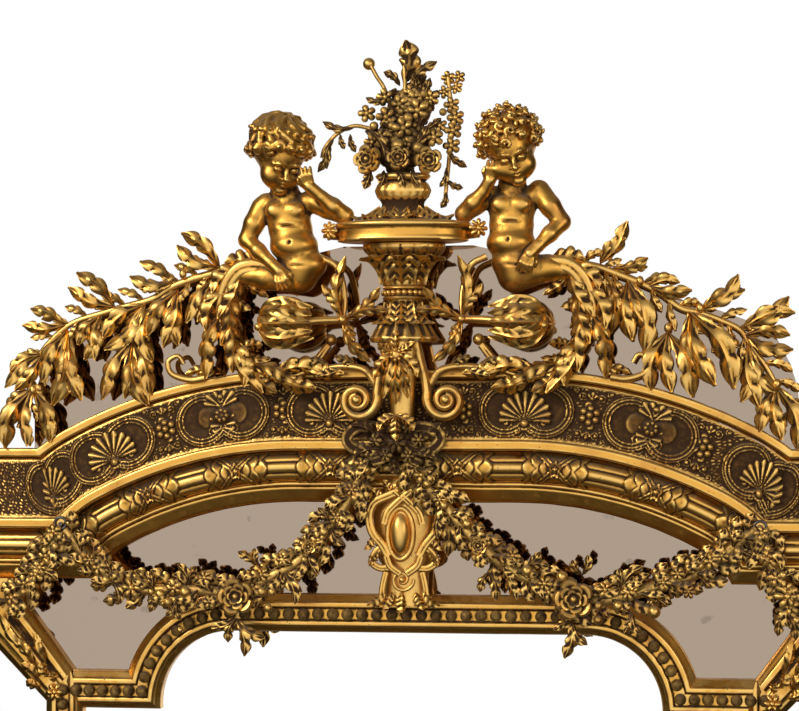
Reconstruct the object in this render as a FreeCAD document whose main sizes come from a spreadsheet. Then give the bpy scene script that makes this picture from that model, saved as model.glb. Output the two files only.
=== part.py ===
"""Carved and gilt trumeau mirror with a stepped main plate, a three-centred arch and a pierced crest.

+X runs to the viewer's right, +Z up, and the front of the mirror faces -Y. The origin is the bottom
centre of the wall plane. All sizes are in millimetres and live in the sheet called Sizes.
"""
import FreeCAD, Part
import math
import os

V = FreeCAD.Vector
SIDES = (("left", -1), ("right", 1))

doc = FreeCAD.newDocument("TrumeauMirror")
sheet = doc.addObject("Spreadsheet::Sheet", "Sizes")

SIZES = [
    # main plate, seen through the beaded frame
    ("plate_half_width", 507), ("plate_bottom", 58), ("step_height", 1281), ("step_rise", 9),
    ("neck_inset", 123), ("neck_half_width", "=plate_half_width - neck_inset"),
    ("corner_radius", 112),
    # beaded frame moulding, measured outward from the edge of the glass
    ("bead_inset", 28), ("bead_outset", 30), ("bead_radius", 9.2), ("bead_pitch", 22),
    ("bead_clearance", 0.4), ("bead_channel_half", "=bead_radius + bead_clearance"),
    ("cove_width", 10), ("rebate_width", 9), ("plate_overlap", 8),
    # ears beside the corner glass
    ("ear_reach", 148), ("ear_half_width", "=plate_half_width + ear_reach"), ("ear_width", 58),
    ("ear_turn_rise", 159), ("ear_turn_height", "=step_height + ear_turn_rise"),
    ("ear_foot_inset", 15),
    # arch, by the edge of its glass, and the shoulders it lands on
    ("arch_rise", 319), ("arch_crown", "=step_height + arch_rise"), ("arch_flat_inset", 341),
    ("arch_flat_half", "=plate_half_width - arch_flat_inset"), ("arch_main_radius", 578),
    ("arch_end_radius", 120), ("arch_end_span", 213.6), ("shoulder_rise", 199),
    ("shoulder_height", "=step_height + shoulder_rise"),
    ("sight_band_width", 25), ("thin_fillet_width", 7), ("reeding_width", 43),
    ("reveal_width", 5), ("middle_fillet_width", 15), ("frieze_width", 89),
    ("groove_width", 4), ("top_fillet_width", 14),
    # depths from the wall, front to back
    ("batten_depth", 8), ("carcass_depth", 20), ("backboard_depth", 4), ("plate_depth", 4),
    ("seat_gap", 0.3), ("joint_gap", 0.15), ("sight_front", 46), ("frame_front", 60), ("channel_front", 56),
    ("reeding_front", 84), ("middle_fillet_front", 95), ("frieze_inner_front", 88),
    ("frieze_outer_front", 60), ("top_fillet_front", 66),
    # carcass
    ("carcass_inset", 10), ("carcass_stile_width", 86), ("batten_height", 60),
    ("lower_batten_height", 0), ("upper_batten_drop", 171),
    ("upper_batten_height", "=step_height - upper_batten_drop"),
    # crest: the laurel stems follow the arch at stem_rise and frame the crest plate
    ("stem_rise", 156), ("stem_width", 12), ("stem_front", 70), ("branch_reach", 82),
    ("branch_half_width", "=plate_half_width + branch_reach"),
    ("leaf_length", 48), ("leaf_width", 17), ("leaf_thickness", 6), ("hip_half_width", 232),
    ("scroll_centre", 184), ("scroll_rise", 67), ("scroll_radius", 55), ("scroll_band", 14),
    ("scroll_front", 80), ("bud_half_length", 56), ("bud_half_height", 42), ("bud_half_depth", 28),
    ("bud_depth", 110),
    # console
    ("console_depth", 98), ("shelf_rise", 190), ("shelf_height", 28), ("shelf_half_width", 100),
    ("shelf_back", 42), ("shelf_front", 128), ("shelf_bow", 22), ("capital_top_radius", 52),
    ("capital_waist_radius", 32), ("capital_height", 66), ("collar_height", 20),
    ("collar_radius", 30), ("pedestal_top_radius", 24), ("pedestal_foot_radius", 54),
    ("pedestal_height", 66), ("strip_half_width", 22), ("strip_front", 126), ("volute_radius", 31),
    ("volute_offset", 67), ("volute_front", 128), ("volute_arm", 82), ("volute_band", 8),
    # urn and bouquet
    ("urn_foot_half_width", 84), ("urn_foot_half_depth", 46), ("urn_neck_radius", 25),
    ("urn_bowl_radius", 42), ("urn_height", 74), ("bouquet_height", 204),
    # cherubs
    ("putto_offset", 168), ("putto_depth", 112), ("head_radius", 48), ("chest_radius", 37),
    ("waist_radius", 33), ("arm_radius", 14), ("putto_height", 268),
    # keystone cartouche
    ("keystone_half_width", 48), ("keystone_shaft_half", 30), ("keystone_front", 88),
    ("cabochon_half_width", 15), ("cabochon_half_height", 31), ("cabochon_depth", 12),
    # garlands
    ("hook_radius", 9), ("hook_wire_radius", 2.2), ("hook_reach", 22),
    ("hook_half_width", "=plate_half_width + hook_reach"), ("garland_front", 112),
    ("garland_radius", 15), ("garland_sag", 112), ("rose_radius", 28), ("bow_half_width", 52),
    # corner leaves at the foot
    ("corner_leaf_length", 62), ("corner_leaf_depth", 8),
    # hangers and wall plates
    ("hanger_rise", 110), ("hanger_height", "=upper_batten_height + hanger_rise"),
    ("hanger_reach", 5), ("hanger_offset", "=plate_half_width + hanger_reach"),
    ("hanger_plate_width", 34),
    ("hanger_plate_height", 70), ("hanger_plate_depth", 2), ("ring_wire_radius", 2),
    ("ring_radius", 17), ("ring_drop", 8), ("knuckle_radius", 3.4), ("knuckle_half_length", 9),
    ("knuckle_clearance", 0.15), ("wall_plate_length", 62), ("wall_plate_width", 22),
    ("wall_plate_depth", 2), ("wall_plate_reach", 30), ("wall_hole_radius", 2.6),
    ("screw_radius", 2), ("screw_head_radius", 3.8), ("screw_head_depth", 1.4),
    ("screw_length", 14),
]
for row, (name, value) in enumerate(SIZES, start=1):
    sheet.set("A%d" % row, name)
    sheet.set("B%d" % row, str(value))
    sheet.setAlias("B%d" % row, name)
doc.recompute()


def size(name):
    """A driving dimension from the sheet."""
    return float(sheet.get(name))


# ---------------------------------------------------------------- values that follow from the sheet
MOULDING = size("bead_inset") + size("bead_outset")
CORNER_X = size("neck_half_width") - size("corner_radius")
CORNER_Z = size("step_height") + size("step_rise")
PLATE_TOP = CORNER_Z + size("corner_radius")
CARCASS_FRONT = size("batten_depth") + size("carcass_depth")
BACKBOARD_FRONT = CARCASS_FRONT + size("backboard_depth")
PLATE_FRONT = BACKBOARD_FRONT + size("plate_depth")
OVER_PLATE = PLATE_FRONT + size("seat_gap")
EAR_INNER = size("ear_half_width") - size("ear_width")
STILE_OUTER = size("plate_half_width") + MOULDING
STEP_TOP = size("step_height") + MOULDING

THIN_FILLET_AT = size("sight_band_width")
REEDING_AT = THIN_FILLET_AT + size("thin_fillet_width")
REVEAL_AT = REEDING_AT + size("reeding_width")
MIDDLE_FILLET_AT = REVEAL_AT + size("reveal_width")
FRIEZE_AT = MIDDLE_FILLET_AT + size("middle_fillet_width")
GROOVE_AT = FRIEZE_AT + size("frieze_width")
TOP_FILLET_AT = GROOVE_AT + size("groove_width")
BAND_WIDTH = TOP_FILLET_AT + size("top_fillet_width")
ARCH_TOP = size("arch_crown") + BAND_WIDTH
SHOULDER_TOP = size("shoulder_height") + BAND_WIDTH

MAIN_ANGLE = math.asin(size("arch_end_span") / (size("arch_main_radius") - size("arch_end_radius")))
MAIN_X = size("arch_flat_half")
MAIN_Z = size("arch_crown") - size("arch_main_radius")
END_X = MAIN_X + (size("arch_main_radius") - size("arch_end_radius")) * math.sin(MAIN_ANGLE)
END_Z = MAIN_Z + (size("arch_main_radius") - size("arch_end_radius")) * math.cos(MAIN_ANGLE)
LEAF_SINK = size("stem_width") / 2
LAYER_STEP = 0.9
JOINT_SWELL = 1.07
BALL_AXIS = V(0.37, 1.0, 0.23)
FAR = 4000.0


# ---------------------------------------------------------------- shape helpers
def outline_face(points, place):
    """A face through (a, b) points. A point with a third value is the middle of an arc."""
    edges = []
    index = 0
    while index < len(points):
        start = points[index]
        follow = points[(index + 1) % len(points)]
        if len(follow) == 3:
            end = points[(index + 2) % len(points)]
            edges.append(Part.Arc(place(start), place(follow), place(end)).toShape())
            index += 2
        else:
            edges.append(Part.LineSegment(place(start), place(follow)).toShape())
            index += 1
    return Part.Face(Part.Wire(edges))


def prism(points, back, front):
    """A solid with an outline in the XZ plane, between two depths from the wall."""
    face = outline_face(points, lambda point: V(point[0], -back, point[1]))
    return face.extrude(V(0, back - front, 0))


def mirrored(shape):
    """The same shape on the other side of the centre line."""
    return shape.mirror(V(0, 0, 0), V(1, 0, 0))


def on_side(shape, sign):
    """A right-hand shape, or its mirror image on the left."""
    return shape if sign > 0 else mirrored(shape)


def fused(shapes):
    """One solid from boards and mouldings that meet flush, with their shared faces joined."""
    return carved(shapes).removeSplitter()


def carved(shapes):
    """One solid from rounded or leafy shapes that run into each other."""
    first, rest = shapes[0], shapes[1:]
    return first.multiFuse(rest) if rest else first


def main_solid(shape):
    """The largest solid of a shape, without slivers."""
    return max(shape.Solids, key=lambda solid: solid.Volume)


def leaf(base, tip, width, back, front):
    """A flat leaf blade: two arcs between its tip and a root sunk a little behind its base."""
    run = V(tip[0] - base[0], tip[1] - base[1], 0)
    along = V(run).normalize()
    base = (base[0] - along.x * LEAF_SINK, base[1] - along.y * LEAF_SINK)
    across = V(-run.y, run.x, 0).normalize() * width / 2
    middle = ((base[0] + tip[0]) / 2, (base[1] + tip[1]) / 2)
    one = (middle[0] + across.x, middle[1] + across.y, "arc")
    other = (middle[0] - across.x, middle[1] - across.y, "arc")
    return prism([base, one, tip, other], back, front)


def ribbon(points, width, back, front):
    """A band of even width along a line of points, between two depths."""
    left, right = [], []
    last = len(points) - 1
    for index, (x, z) in enumerate(points):
        before = points[max(index - 1, 0)]
        after = points[min(index + 1, last)]
        across = V(before[1] - after[1], after[0] - before[0], 0).normalize() * width / 2
        left.append((x + across.x, z + across.y))
        right.append((x - across.x, z - across.y))
    return prism(left + right[::-1], back, front)


def ball(x, depth, z, radius):
    """A ball at a depth from the wall, its poles turned away from every straight cut."""
    return Part.makeSphere(radius, V(x, -depth, z), BALL_AXIS)


def bar(start, end, radius):
    """A round bar between two (x, depth, z) points."""
    begin = V(start[0], -start[1], start[2])
    run = V(end[0], -end[1], end[2]) - begin
    return Part.makeCylinder(radius, run.Length, begin, run)


def limb(points, radii):
    """Balls joined by cones: a rounded limb through (x, depth, z) points."""
    pieces = [ball(point[0], point[1], point[2], radius * JOINT_SWELL)
              for point, radius in zip(points, radii)]
    for start, end, first, second in zip(points, points[1:], radii, radii[1:]):
        begin = V(start[0], -start[1], start[2])
        run = V(end[0], -end[1], end[2]) - begin
        if abs(first - second) < 0.01:
            pieces.append(Part.makeCylinder(first, run.Length, begin, run))
        else:
            pieces.append(Part.makeCone(first, second, run.Length, begin, run))
    return carved(pieces)


def oval_loft(x, depth, sections):
    """A solid through ovals, each given as (height, half width, half depth)."""
    wires = []
    for height, half_width, half_depth in sections:
        centre = V(x, -depth, height)
        if half_width >= half_depth:
            oval = Part.Ellipse(centre + V(half_width, 0, 0), centre + V(0, half_depth, 0), centre)
        else:
            oval = Part.Ellipse(centre + V(0, half_depth, 0), centre - V(half_width, 0, 0), centre)
        wires.append(Part.Wire(oval.toShape()))
    return Part.makeLoft(wires, True, True)


def turned(x, depth, profile):
    """A turned solid about an upright axis, from (radius, height) points."""
    points = [(0, profile[0][1])] + list(profile) + [(0, profile[-1][1])]
    face = outline_face(points, lambda point: V(x + point[0], -depth, point[1]))
    return face.revolve(V(x, -depth, 0), V(0, 0, 1), 360)


# ---------------------------------------------------------------- nodes
def shape_node(label, shape):
    """A sub-part whose shape is worked out above, named for the piece."""
    node = doc.addObject("Part::Feature", label)
    node.Label = label
    node.Shape = shape
    node.Placement = FreeCAD.Placement()
    NODES.append(node)
    return node


def shape_of(label):
    """The shape of a sub-part that is already made."""
    return next(node.Shape for node in NODES if node.Label == label)


def cut_clear(shape, others):
    """What is left of a shape beside the pieces it is seated on."""
    near = [other for other in others if shape.BoundBox.intersect(other.BoundBox)]
    return main_solid(shape.cut(near)) if near else shape


def box_part(label, low, spans):
    """A board from the sheet: its low corner and its spans are expressions."""
    board = doc.addObject("Part::Box", label)
    for axis, place, name, span in zip("xyz", low, ("Length", "Width", "Height"), spans):
        board.setExpression("Placement.Base." + axis, place)
        board.setExpression(name, span)
    return board


def box_node(label, low, spans):
    """A plain board as a sub-part of its own."""
    board = box_part(label, low, spans)
    board.Label = label
    NODES.append(board)
    return board


NODES = []


# ---------------------------------------------------------------- arch geometry
def mitre_angle(offset):
    """Angle on the end arc where the moulding line at an offset meets its shoulder line."""
    drop = size("shoulder_height") + offset - END_Z
    return math.acos(drop / (size("arch_end_radius") + offset))


def mitre_point(offset):
    """Where the moulding line at an offset turns from arch to shoulder."""
    angle = mitre_angle(offset)
    return (END_X + (size("arch_end_radius") + offset) * math.sin(angle),
            size("shoulder_height") + offset)


def main_arc_point(offset, angle):
    """A point of the arch's main arc, by its angle from upright."""
    radius = size("arch_main_radius") + offset
    return (MAIN_X + radius * math.sin(angle), MAIN_Z + radius * math.cos(angle))


def end_arc_point(offset, angle):
    """A point of the arch's end arc, by its angle from upright."""
    radius = size("arch_end_radius") + offset
    return (END_X + radius * math.sin(angle), END_Z + radius * math.cos(angle))


def arch_height(offset, x):
    """Height of the moulding line at an offset, above any x."""
    across = abs(x)
    if across <= MAIN_X:
        return size("arch_crown") + offset
    if across <= main_arc_point(offset, MAIN_ANGLE)[0]:
        return MAIN_Z + math.sqrt((size("arch_main_radius") + offset) ** 2 - (across - MAIN_X) ** 2)
    if across <= mitre_point(offset)[0]:
        return END_Z + math.sqrt((size("arch_end_radius") + offset) ** 2 - (across - END_X) ** 2)
    return size("shoulder_height") + offset


def arch_line(offset, start_x):
    """Outline points of the right half of a moulding line, from start_x at the crown to the mitre."""
    end_angle = mitre_angle(offset)
    middle = main_arc_point(offset, MAIN_ANGLE / 2)
    turn = end_arc_point(offset, (MAIN_ANGLE + end_angle) / 2)
    return [(start_x, size("arch_crown") + offset), (MAIN_X, size("arch_crown") + offset),
            (middle[0], middle[1], "arc"), main_arc_point(offset, MAIN_ANGLE),
            (turn[0], turn[1], "arc"), mitre_point(offset)]


MITRE_OFFSETS = (0, REEDING_AT, REVEAL_AT, FRIEZE_AT, GROOVE_AT, BAND_WIDTH)
MITRES = [mitre_point(offset) for offset in MITRE_OFFSETS]
ARCH_SIDE = prism([(-MITRES[0][0], 0), (MITRES[0][0], 0)] + MITRES + [(MITRES[-1][0], FAR),
                  (-MITRES[-1][0], FAR)] + [(-x, z) for x, z in MITRES[::-1]], 0, FAR)
SHOULDER_SIDE = prism([(MITRES[0][0], 0)] + MITRES + [(MITRES[-1][0], FAR), (FAR, FAR), (FAR, 0)],
                      0, FAR)


def arch_solid(profile):
    """A profile of (offset, depth) points carried along the whole arch, cut at both mitres."""
    crown = size("arch_crown")
    face = outline_face(profile, lambda point: V(MAIN_X, -point[1], crown + point[0]))
    upright = V(0, 1, 0)
    flat = face.extrude(V(-2 * MAIN_X, 0, 0))
    main_turn = math.degrees(MAIN_ANGLE)
    main = face.revolve(V(MAIN_X, 0, MAIN_Z), upright, main_turn)
    turned_face = face.copy()
    turned_face.rotate(V(MAIN_X, 0, MAIN_Z), upright, main_turn)
    rest = math.degrees(mitre_angle(0)) + 4 - main_turn
    end = turned_face.revolve(V(END_X, 0, END_Z), upright, rest)
    half = [main, end]
    whole = fused([flat] + half + [mirrored(piece) for piece in half])
    return main_solid(whole.common(ARCH_SIDE))


def shoulder_solid(profile):
    """The same kind of profile carried level from the mitre to the outside of the ear."""
    start = MITRES[0][0] - BAND_WIDTH
    face = outline_face(profile, lambda point: V(start, -point[1], size("shoulder_height") + point[0]))
    return main_solid(face.extrude(V(size("ear_half_width") - start, 0, 0)).common(SHOULDER_SIDE))


def rebated(width, points):
    """A moulding's profile: its front points, its back, and the rebate over the plate's edge."""
    rebate = size("rebate_width")
    return points + [(width, CARCASS_FRONT), (rebate, CARCASS_FRONT), (rebate, OVER_PLATE),
                     (0, OVER_PLATE)]


# ---------------------------------------------------------------- mouldings of the arch
REEDING_MIDDLE = (REEDING_AT + REVEAL_AT) / 2
SIGHT_BAND = rebated(REEDING_AT, [(0, size("sight_front")), (THIN_FILLET_AT, size("frame_front")),
                                  (THIN_FILLET_AT, size("frame_front") + 4),
                                  (REEDING_AT, size("frame_front") + 4)])
FRIEZE = [(REVEAL_AT, CARCASS_FRONT), (REVEAL_AT, size("top_fillet_front")),
          (MIDDLE_FILLET_AT, size("middle_fillet_front")), (FRIEZE_AT, size("middle_fillet_front")),
          (FRIEZE_AT, size("frieze_inner_front")), (GROOVE_AT, size("frieze_outer_front")),
          (GROOVE_AT, CARCASS_FRONT)]


def reeding(gap):
    """The half-round moulding, with a gap on both sides."""
    inner, outer = REEDING_AT + gap, REVEAL_AT - gap
    return [(inner, CARCASS_FRONT), (inner, size("frame_front")),
            (REEDING_MIDDLE, size("reeding_front"), "arc"), (outer, size("frame_front")),
            (outer, CARCASS_FRONT)]


def top_fillet(gap):
    """The groove and the outermost fillet, with a gap on the inside."""
    inner = GROOVE_AT + gap
    return [(inner, CARCASS_FRONT), (inner, size("channel_front")),
            (TOP_FILLET_AT, size("channel_front")), (TOP_FILLET_AT, size("top_fillet_front")),
            (BAND_WIDTH, size("top_fillet_front")), (BAND_WIDTH, CARCASS_FRONT)]


arch_sight_band = shape_node("arch_sight_band", arch_solid(SIGHT_BAND))
arch_reeding = shape_node("arch_reeded_moulding", arch_solid(reeding(size("joint_gap"))))
arch_frieze = shape_node("arch_frieze", arch_solid(FRIEZE))
arch_top = shape_node("arch_top_fillet", arch_solid(top_fillet(size("joint_gap"))))
ARCH_SHAPES = [arch_sight_band.Shape, arch_reeding.Shape, arch_frieze.Shape, arch_top.Shape]

right_shoulder = fused([shoulder_solid(profile)
                        for profile in (SIGHT_BAND, reeding(0), FRIEZE, top_fillet(0))])
for side, sign in SIDES:
    shape_node("shoulder_" + side, on_side(right_shoulder, sign))
SHOULDERS = [right_shoulder, mirrored(right_shoulder)]


# ---------------------------------------------------------------- beaded frame round the main plate
def frame_front_points(width):
    """Front of the beaded moulding: cove, fillet, bead channel, outer fillet and sloping face."""
    channel_in = size("bead_inset") - size("bead_channel_half")
    channel_out = size("bead_inset") + size("bead_channel_half")
    return [(0, size("sight_front")), (size("cove_width") * 0.35, size("sight_front") + 9, "arc"),
            (size("cove_width"), size("frame_front") - 2), (size("cove_width"), size("frame_front")),
            (channel_in, size("frame_front")), (channel_in, size("channel_front")),
            (channel_out, size("channel_front")), (channel_out, size("frame_front")),
            (width - size("rebate_width"), size("frame_front")), (width, size("sight_front"))]


OUTER_FRAME = rebated(MOULDING, frame_front_points(MOULDING))
INNER_FRAME = frame_front_points(MOULDING) + [
    (MOULDING, OVER_PLATE), (MOULDING - size("rebate_width"), OVER_PLATE),
    (MOULDING - size("rebate_width"), CARCASS_FRONT), (size("rebate_width"), CARCASS_FRONT),
    (size("rebate_width"), OVER_PLATE), (0, OVER_PLATE)]

EAR_FOOT = (size("plate_half_width") + size("ear_foot_inset"), STEP_TOP)
STILE_TOP = (STILE_OUTER, CORNER_Z)
EAR_TURN_OUT = (size("ear_half_width"),
                size("ear_turn_height") - size("ear_width") * math.tan(math.radians(45)))
STEP_MEETS_ARC = (CORNER_X + math.sqrt((size("corner_radius") + MOULDING) ** 2
                                       - (STEP_TOP - CORNER_Z) ** 2), STEP_TOP)
SIGHT_CORNER = (size("plate_half_width"), size("step_height"))
NECK_CORNER = (size("neck_half_width"), size("step_height"))

stile_face = outline_face(OUTER_FRAME, lambda point: V(size("plate_half_width") + point[0], -point[1], 0))
stile_limit = prism([(size("plate_half_width"), size("plate_bottom")), SIGHT_CORNER, EAR_FOOT,
                     STILE_TOP, (STILE_OUTER, size("plate_bottom") - MOULDING)], 0, FAR)
step_channel = Part.makeBox(size("bead_inset"), size("frame_front"), 2 * size("bead_channel_half"),
                            V(size("plate_half_width"), -size("channel_front") - size("frame_front"),
                              size("step_height") + size("bead_inset") - size("bead_channel_half")))
stile = main_solid(stile_face.extrude(V(0, 0, STEP_TOP)).common(stile_limit).cut(step_channel))

bottom_face = outline_face(OUTER_FRAME, lambda point: V(-STILE_OUTER, -point[1],
                                                        size("plate_bottom") - point[0]))
bottom_limit = prism([(-size("plate_half_width"), size("plate_bottom")),
                      (size("plate_half_width"), size("plate_bottom")),
                      (STILE_OUTER, size("plate_bottom") - MOULDING),
                      (-STILE_OUTER, size("plate_bottom") - MOULDING)], 0, FAR)
bottom = main_solid(bottom_face.extrude(V(2 * STILE_OUTER, 0, 0)).common(bottom_limit))

step_face = outline_face(INNER_FRAME, lambda point: V(size("neck_half_width") - MOULDING, -point[1],
                                                      size("step_height") + point[0]))
step_limit = prism([NECK_CORNER, SIGHT_CORNER, EAR_FOOT, STEP_MEETS_ARC], 0, FAR)
step = main_solid(step_face.extrude(V(3 * MOULDING, 0, 0)).common(step_limit))

corner_face = outline_face(INNER_FRAME, lambda point: V(CORNER_X, -point[1], PLATE_TOP + point[0]))
corner_limit = prism([NECK_CORNER, STEP_MEETS_ARC, (FAR, STEP_TOP), (FAR, FAR), (0, FAR),
                      (0, size("step_height"))], 0, FAR)
corner_arc = corner_face.revolve(V(CORNER_X, 0, CORNER_Z), V(0, 1, 0), 90)
neck_face = corner_face.copy()
neck_face.rotate(V(CORNER_X, 0, CORNER_Z), V(0, 1, 0), 90)
neck_run = neck_face.extrude(V(0, 0, -size("step_rise")))
corner = main_solid(fused([corner_arc, neck_run]).common(corner_limit))

top_face = outline_face(INNER_FRAME, lambda point: V(-CORNER_X, -point[1], PLATE_TOP + point[0]))
shape_node("top_moulding", top_face.extrude(V(2 * CORNER_X, 0, 0)))
shape_node("bottom_moulding", bottom)

ear_outline = [EAR_FOOT, (EAR_INNER, size("ear_turn_height")), (EAR_INNER, size("shoulder_height")),
               (size("ear_half_width"), size("shoulder_height")), EAR_TURN_OUT, STILE_TOP]
rebate = size("rebate_width")
ear_back = [(EAR_FOOT[0] + rebate, STEP_TOP - rebate),
            (EAR_INNER + rebate, size("ear_turn_height") - rebate / 2),
            (EAR_INNER + rebate, size("shoulder_height")), (size("ear_half_width"), size("shoulder_height")),
            EAR_TURN_OUT, STILE_TOP]
ear_face_inset = size("cove_width")
ear_front = [(EAR_FOOT[0] + ear_face_inset, STEP_TOP - ear_face_inset),
             (EAR_INNER + ear_face_inset, size("ear_turn_height")),
             (EAR_INNER + ear_face_inset, size("shoulder_height")),
             (size("ear_half_width") - ear_face_inset, size("shoulder_height")),
             (EAR_TURN_OUT[0] - ear_face_inset, EAR_TURN_OUT[1] + ear_face_inset / 2),
             (STILE_TOP[0], STILE_TOP[1] + ear_face_inset)]
ear = fused([prism(ear_back, CARCASS_FRONT, OVER_PLATE),
             prism(ear_outline, OVER_PLATE, size("sight_front")),
             prism(ear_front, size("sight_front"), size("frame_front") - 2)])

for side, sign in SIDES:
    shape_node("stile_moulding_" + side, on_side(stile, sign))
    shape_node("step_moulding_" + side, on_side(step, sign))
    shape_node("corner_moulding_" + side, on_side(corner, sign))
    shape_node("ear_moulding_" + side, on_side(ear, sign))


# ---------------------------------------------------------------- beads
BEAD_SINK = 0.45
BEAD_STAND = size("bead_radius") * (1 + BEAD_SINK)


def bead(x, z):
    """A bead half sunk in its channel."""
    centre = size("channel_front") + size("bead_radius") * BEAD_SINK
    whole = ball(x, centre, z, size("bead_radius"))
    keep = Part.makeBox(4 * size("bead_radius"), size("bead_radius") * 2, 4 * size("bead_radius"),
                        V(x - 2 * size("bead_radius"), -size("channel_front") - 2 * size("bead_radius"),
                          z - 2 * size("bead_radius")))
    return whole.common(keep)


def beads_between(start, end):
    """Places of evenly spaced beads from start up to, but not at, the end."""
    length = math.dist(start, end)
    count = max(1, round(length / size("bead_pitch")))
    return [(start[0] + (end[0] - start[0]) * step / count, start[1] + (end[1] - start[1]) * step / count)
            for step in range(count)]


bead_x = size("plate_half_width") + size("bead_inset")
bead_bottom = size("plate_bottom") - size("bead_inset")
bead_step = size("step_height") + size("bead_inset")
bead_arc_radius = size("corner_radius") + size("bead_inset")
bead_arc_start = math.asin((bead_step - CORNER_Z) / bead_arc_radius)
bead_arc_foot = (CORNER_X + bead_arc_radius * math.cos(bead_arc_start), bead_step)
bead_arc_count = round((math.pi / 2 - bead_arc_start) * bead_arc_radius / size("bead_pitch"))
right_places = beads_between((0, bead_bottom), (bead_x, bead_bottom))[1:]
right_places += beads_between((bead_x, bead_bottom), (bead_x, bead_step))
right_places += beads_between((bead_x, bead_step), bead_arc_foot)
for step_index in range(bead_arc_count):
    turn = bead_arc_start + (math.pi / 2 - bead_arc_start) * step_index / bead_arc_count
    right_places.append((CORNER_X + bead_arc_radius * math.cos(turn),
                         CORNER_Z + bead_arc_radius * math.sin(turn)))
right_places += beads_between((CORNER_X, PLATE_TOP + size("bead_inset")), (0, PLATE_TOP + size("bead_inset")))
places = right_places + [(-x, z) for x, z in right_places]
places += [(0, bead_bottom), (0, PLATE_TOP + size("bead_inset"))]
shape_node("frame_beads", Part.makeCompound([bead(x, z) for x, z in places]))


# ---------------------------------------------------------------- plates and their backboards
def both_halves(half):
    """A closed outline from its right half, which runs from bottom to top."""
    return half + [tuple([-point[0]] + list(point[1:])) for point in half[::-1]]


def main_outline():
    """Outline of the main plate, tucked into the rebate all round."""
    over = size("plate_overlap")
    radius = size("corner_radius") + over
    diagonal = radius * math.sqrt(0.5)
    return both_halves([
        (size("plate_half_width") + over, size("plate_bottom") - over),
        (size("plate_half_width") + over, size("step_height") + over),
        (size("neck_half_width") + over, size("step_height") + over),
        (size("neck_half_width") + over, CORNER_Z),
        (CORNER_X + diagonal, CORNER_Z + diagonal, "arc"), (CORNER_X, CORNER_Z + radius)])


def upper_outline(start_x):
    """Outline of one upper plate, from beside the keystone to the ear."""
    over = size("plate_overlap")
    radius = size("corner_radius") + MOULDING - over
    low = STEP_TOP - over
    low_angle = math.asin((low - CORNER_Z) / radius)
    arc_middle = (low_angle + math.pi / 2) / 2
    arch = arch_line(over, start_x)[::-1]
    return [(start_x, CORNER_Z + radius), (CORNER_X, CORNER_Z + radius),
            (CORNER_X + radius * math.cos(arc_middle), CORNER_Z + radius * math.sin(arc_middle), "arc"),
            (CORNER_X + radius * math.cos(low_angle), low),
            (EAR_FOOT[0] + over * 0.6, low), (EAR_INNER + over, size("ear_turn_height") - over / 2),
            (EAR_INNER + over, size("shoulder_height") + over)] + arch


upper_right = upper_outline(size("keystone_shaft_half") - size("plate_overlap"))
shape_node("backboard_main", prism(main_outline(), CARCASS_FRONT, BACKBOARD_FRONT))
shape_node("main_mirror_plate", prism(main_outline(), BACKBOARD_FRONT, PLATE_FRONT))
upper_back = cut_clear(prism(upper_right, CARCASS_FRONT, BACKBOARD_FRONT), [stile])
upper_plate = cut_clear(prism(upper_right, BACKBOARD_FRONT, PLATE_FRONT), [stile])
shape_node("backboard_upper", Part.makeCompound([upper_back, mirrored(upper_back)]))
for side, sign in SIDES:
    shape_node("upper_plate_" + side, on_side(upper_plate, sign))

# stem line of the crest: share of the branch's reach, and share of the stem's rise above the arch
STEM_RUN = ((0.40, 1.03), (0.50, 1.02), (0.60, 0.98), (0.70, 0.93), (0.80, 0.96), (0.90, 1.0),
            (0.945, 0.96), (0.975, 0.82), (0.995, 0.60), (1.0, 0.38), (1.0, 0.10))
reach = size("branch_half_width")
STEM_LINE = [(share * reach, arch_height(BAND_WIDTH, share * reach) + rise * size("stem_rise"))
             for share, rise in STEM_RUN]
CREST_FOOT = BAND_WIDTH + size("seat_gap")
SHELF_UNDER = ARCH_TOP + size("shelf_rise")


def crest_outline():
    """Outline of the crest plate: arch below, stems above, and level under the shelf."""
    middle = size("seat_gap") + size("shelf_half_width")
    lower = arch_line(CREST_FOOT, 0)[1:] + [(reach, SHOULDER_TOP + size("seat_gap"))]
    upper = STEM_LINE[::-1] + [(middle, SHELF_UNDER - 2 * size("seat_gap"))]
    return lower + upper + [(-x[0],) + tuple(x[1:]) for x in (lower + upper)[::-1]]


shape_node("crest_backboard", prism(crest_outline(), size("batten_depth"), BACKBOARD_FRONT))
shape_node("crest_mirror_plate", prism(crest_outline(), BACKBOARD_FRONT, PLATE_FRONT))

# ---------------------------------------------------------------- carcass
stile_inner = "(Sizes.plate_half_width + Sizes.bead_inset + Sizes.bead_outset - Sizes.carcass_inset" \
              " - Sizes.carcass_stile_width)"
carcass_front = "-(Sizes.batten_depth + Sizes.carcass_depth)"
band_width = "(Sizes.sight_band_width + Sizes.thin_fillet_width + Sizes.reeding_width" \
             " + Sizes.reveal_width + Sizes.middle_fillet_width + Sizes.frieze_width" \
             " + Sizes.groove_width + Sizes.top_fillet_width)"
moulding_width = "(Sizes.bead_inset + Sizes.bead_outset)"
carcass_foot = "(Sizes.plate_bottom - %s + Sizes.carcass_inset / 2)" % moulding_width
carcass_stiles = {}
for side, sign in SIDES:
    place = stile_inner if sign > 0 else "-%s - Sizes.carcass_stile_width" % stile_inner
    carcass_stiles[side] = box_node(
        "carcass_stile_" + side, (place, carcass_front, carcass_foot),
        ("Sizes.carcass_stile_width", "Sizes.carcass_depth",
         "Sizes.shoulder_height + %s - Sizes.carcass_inset / 2 - %s" % (band_width, carcass_foot)))
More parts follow.
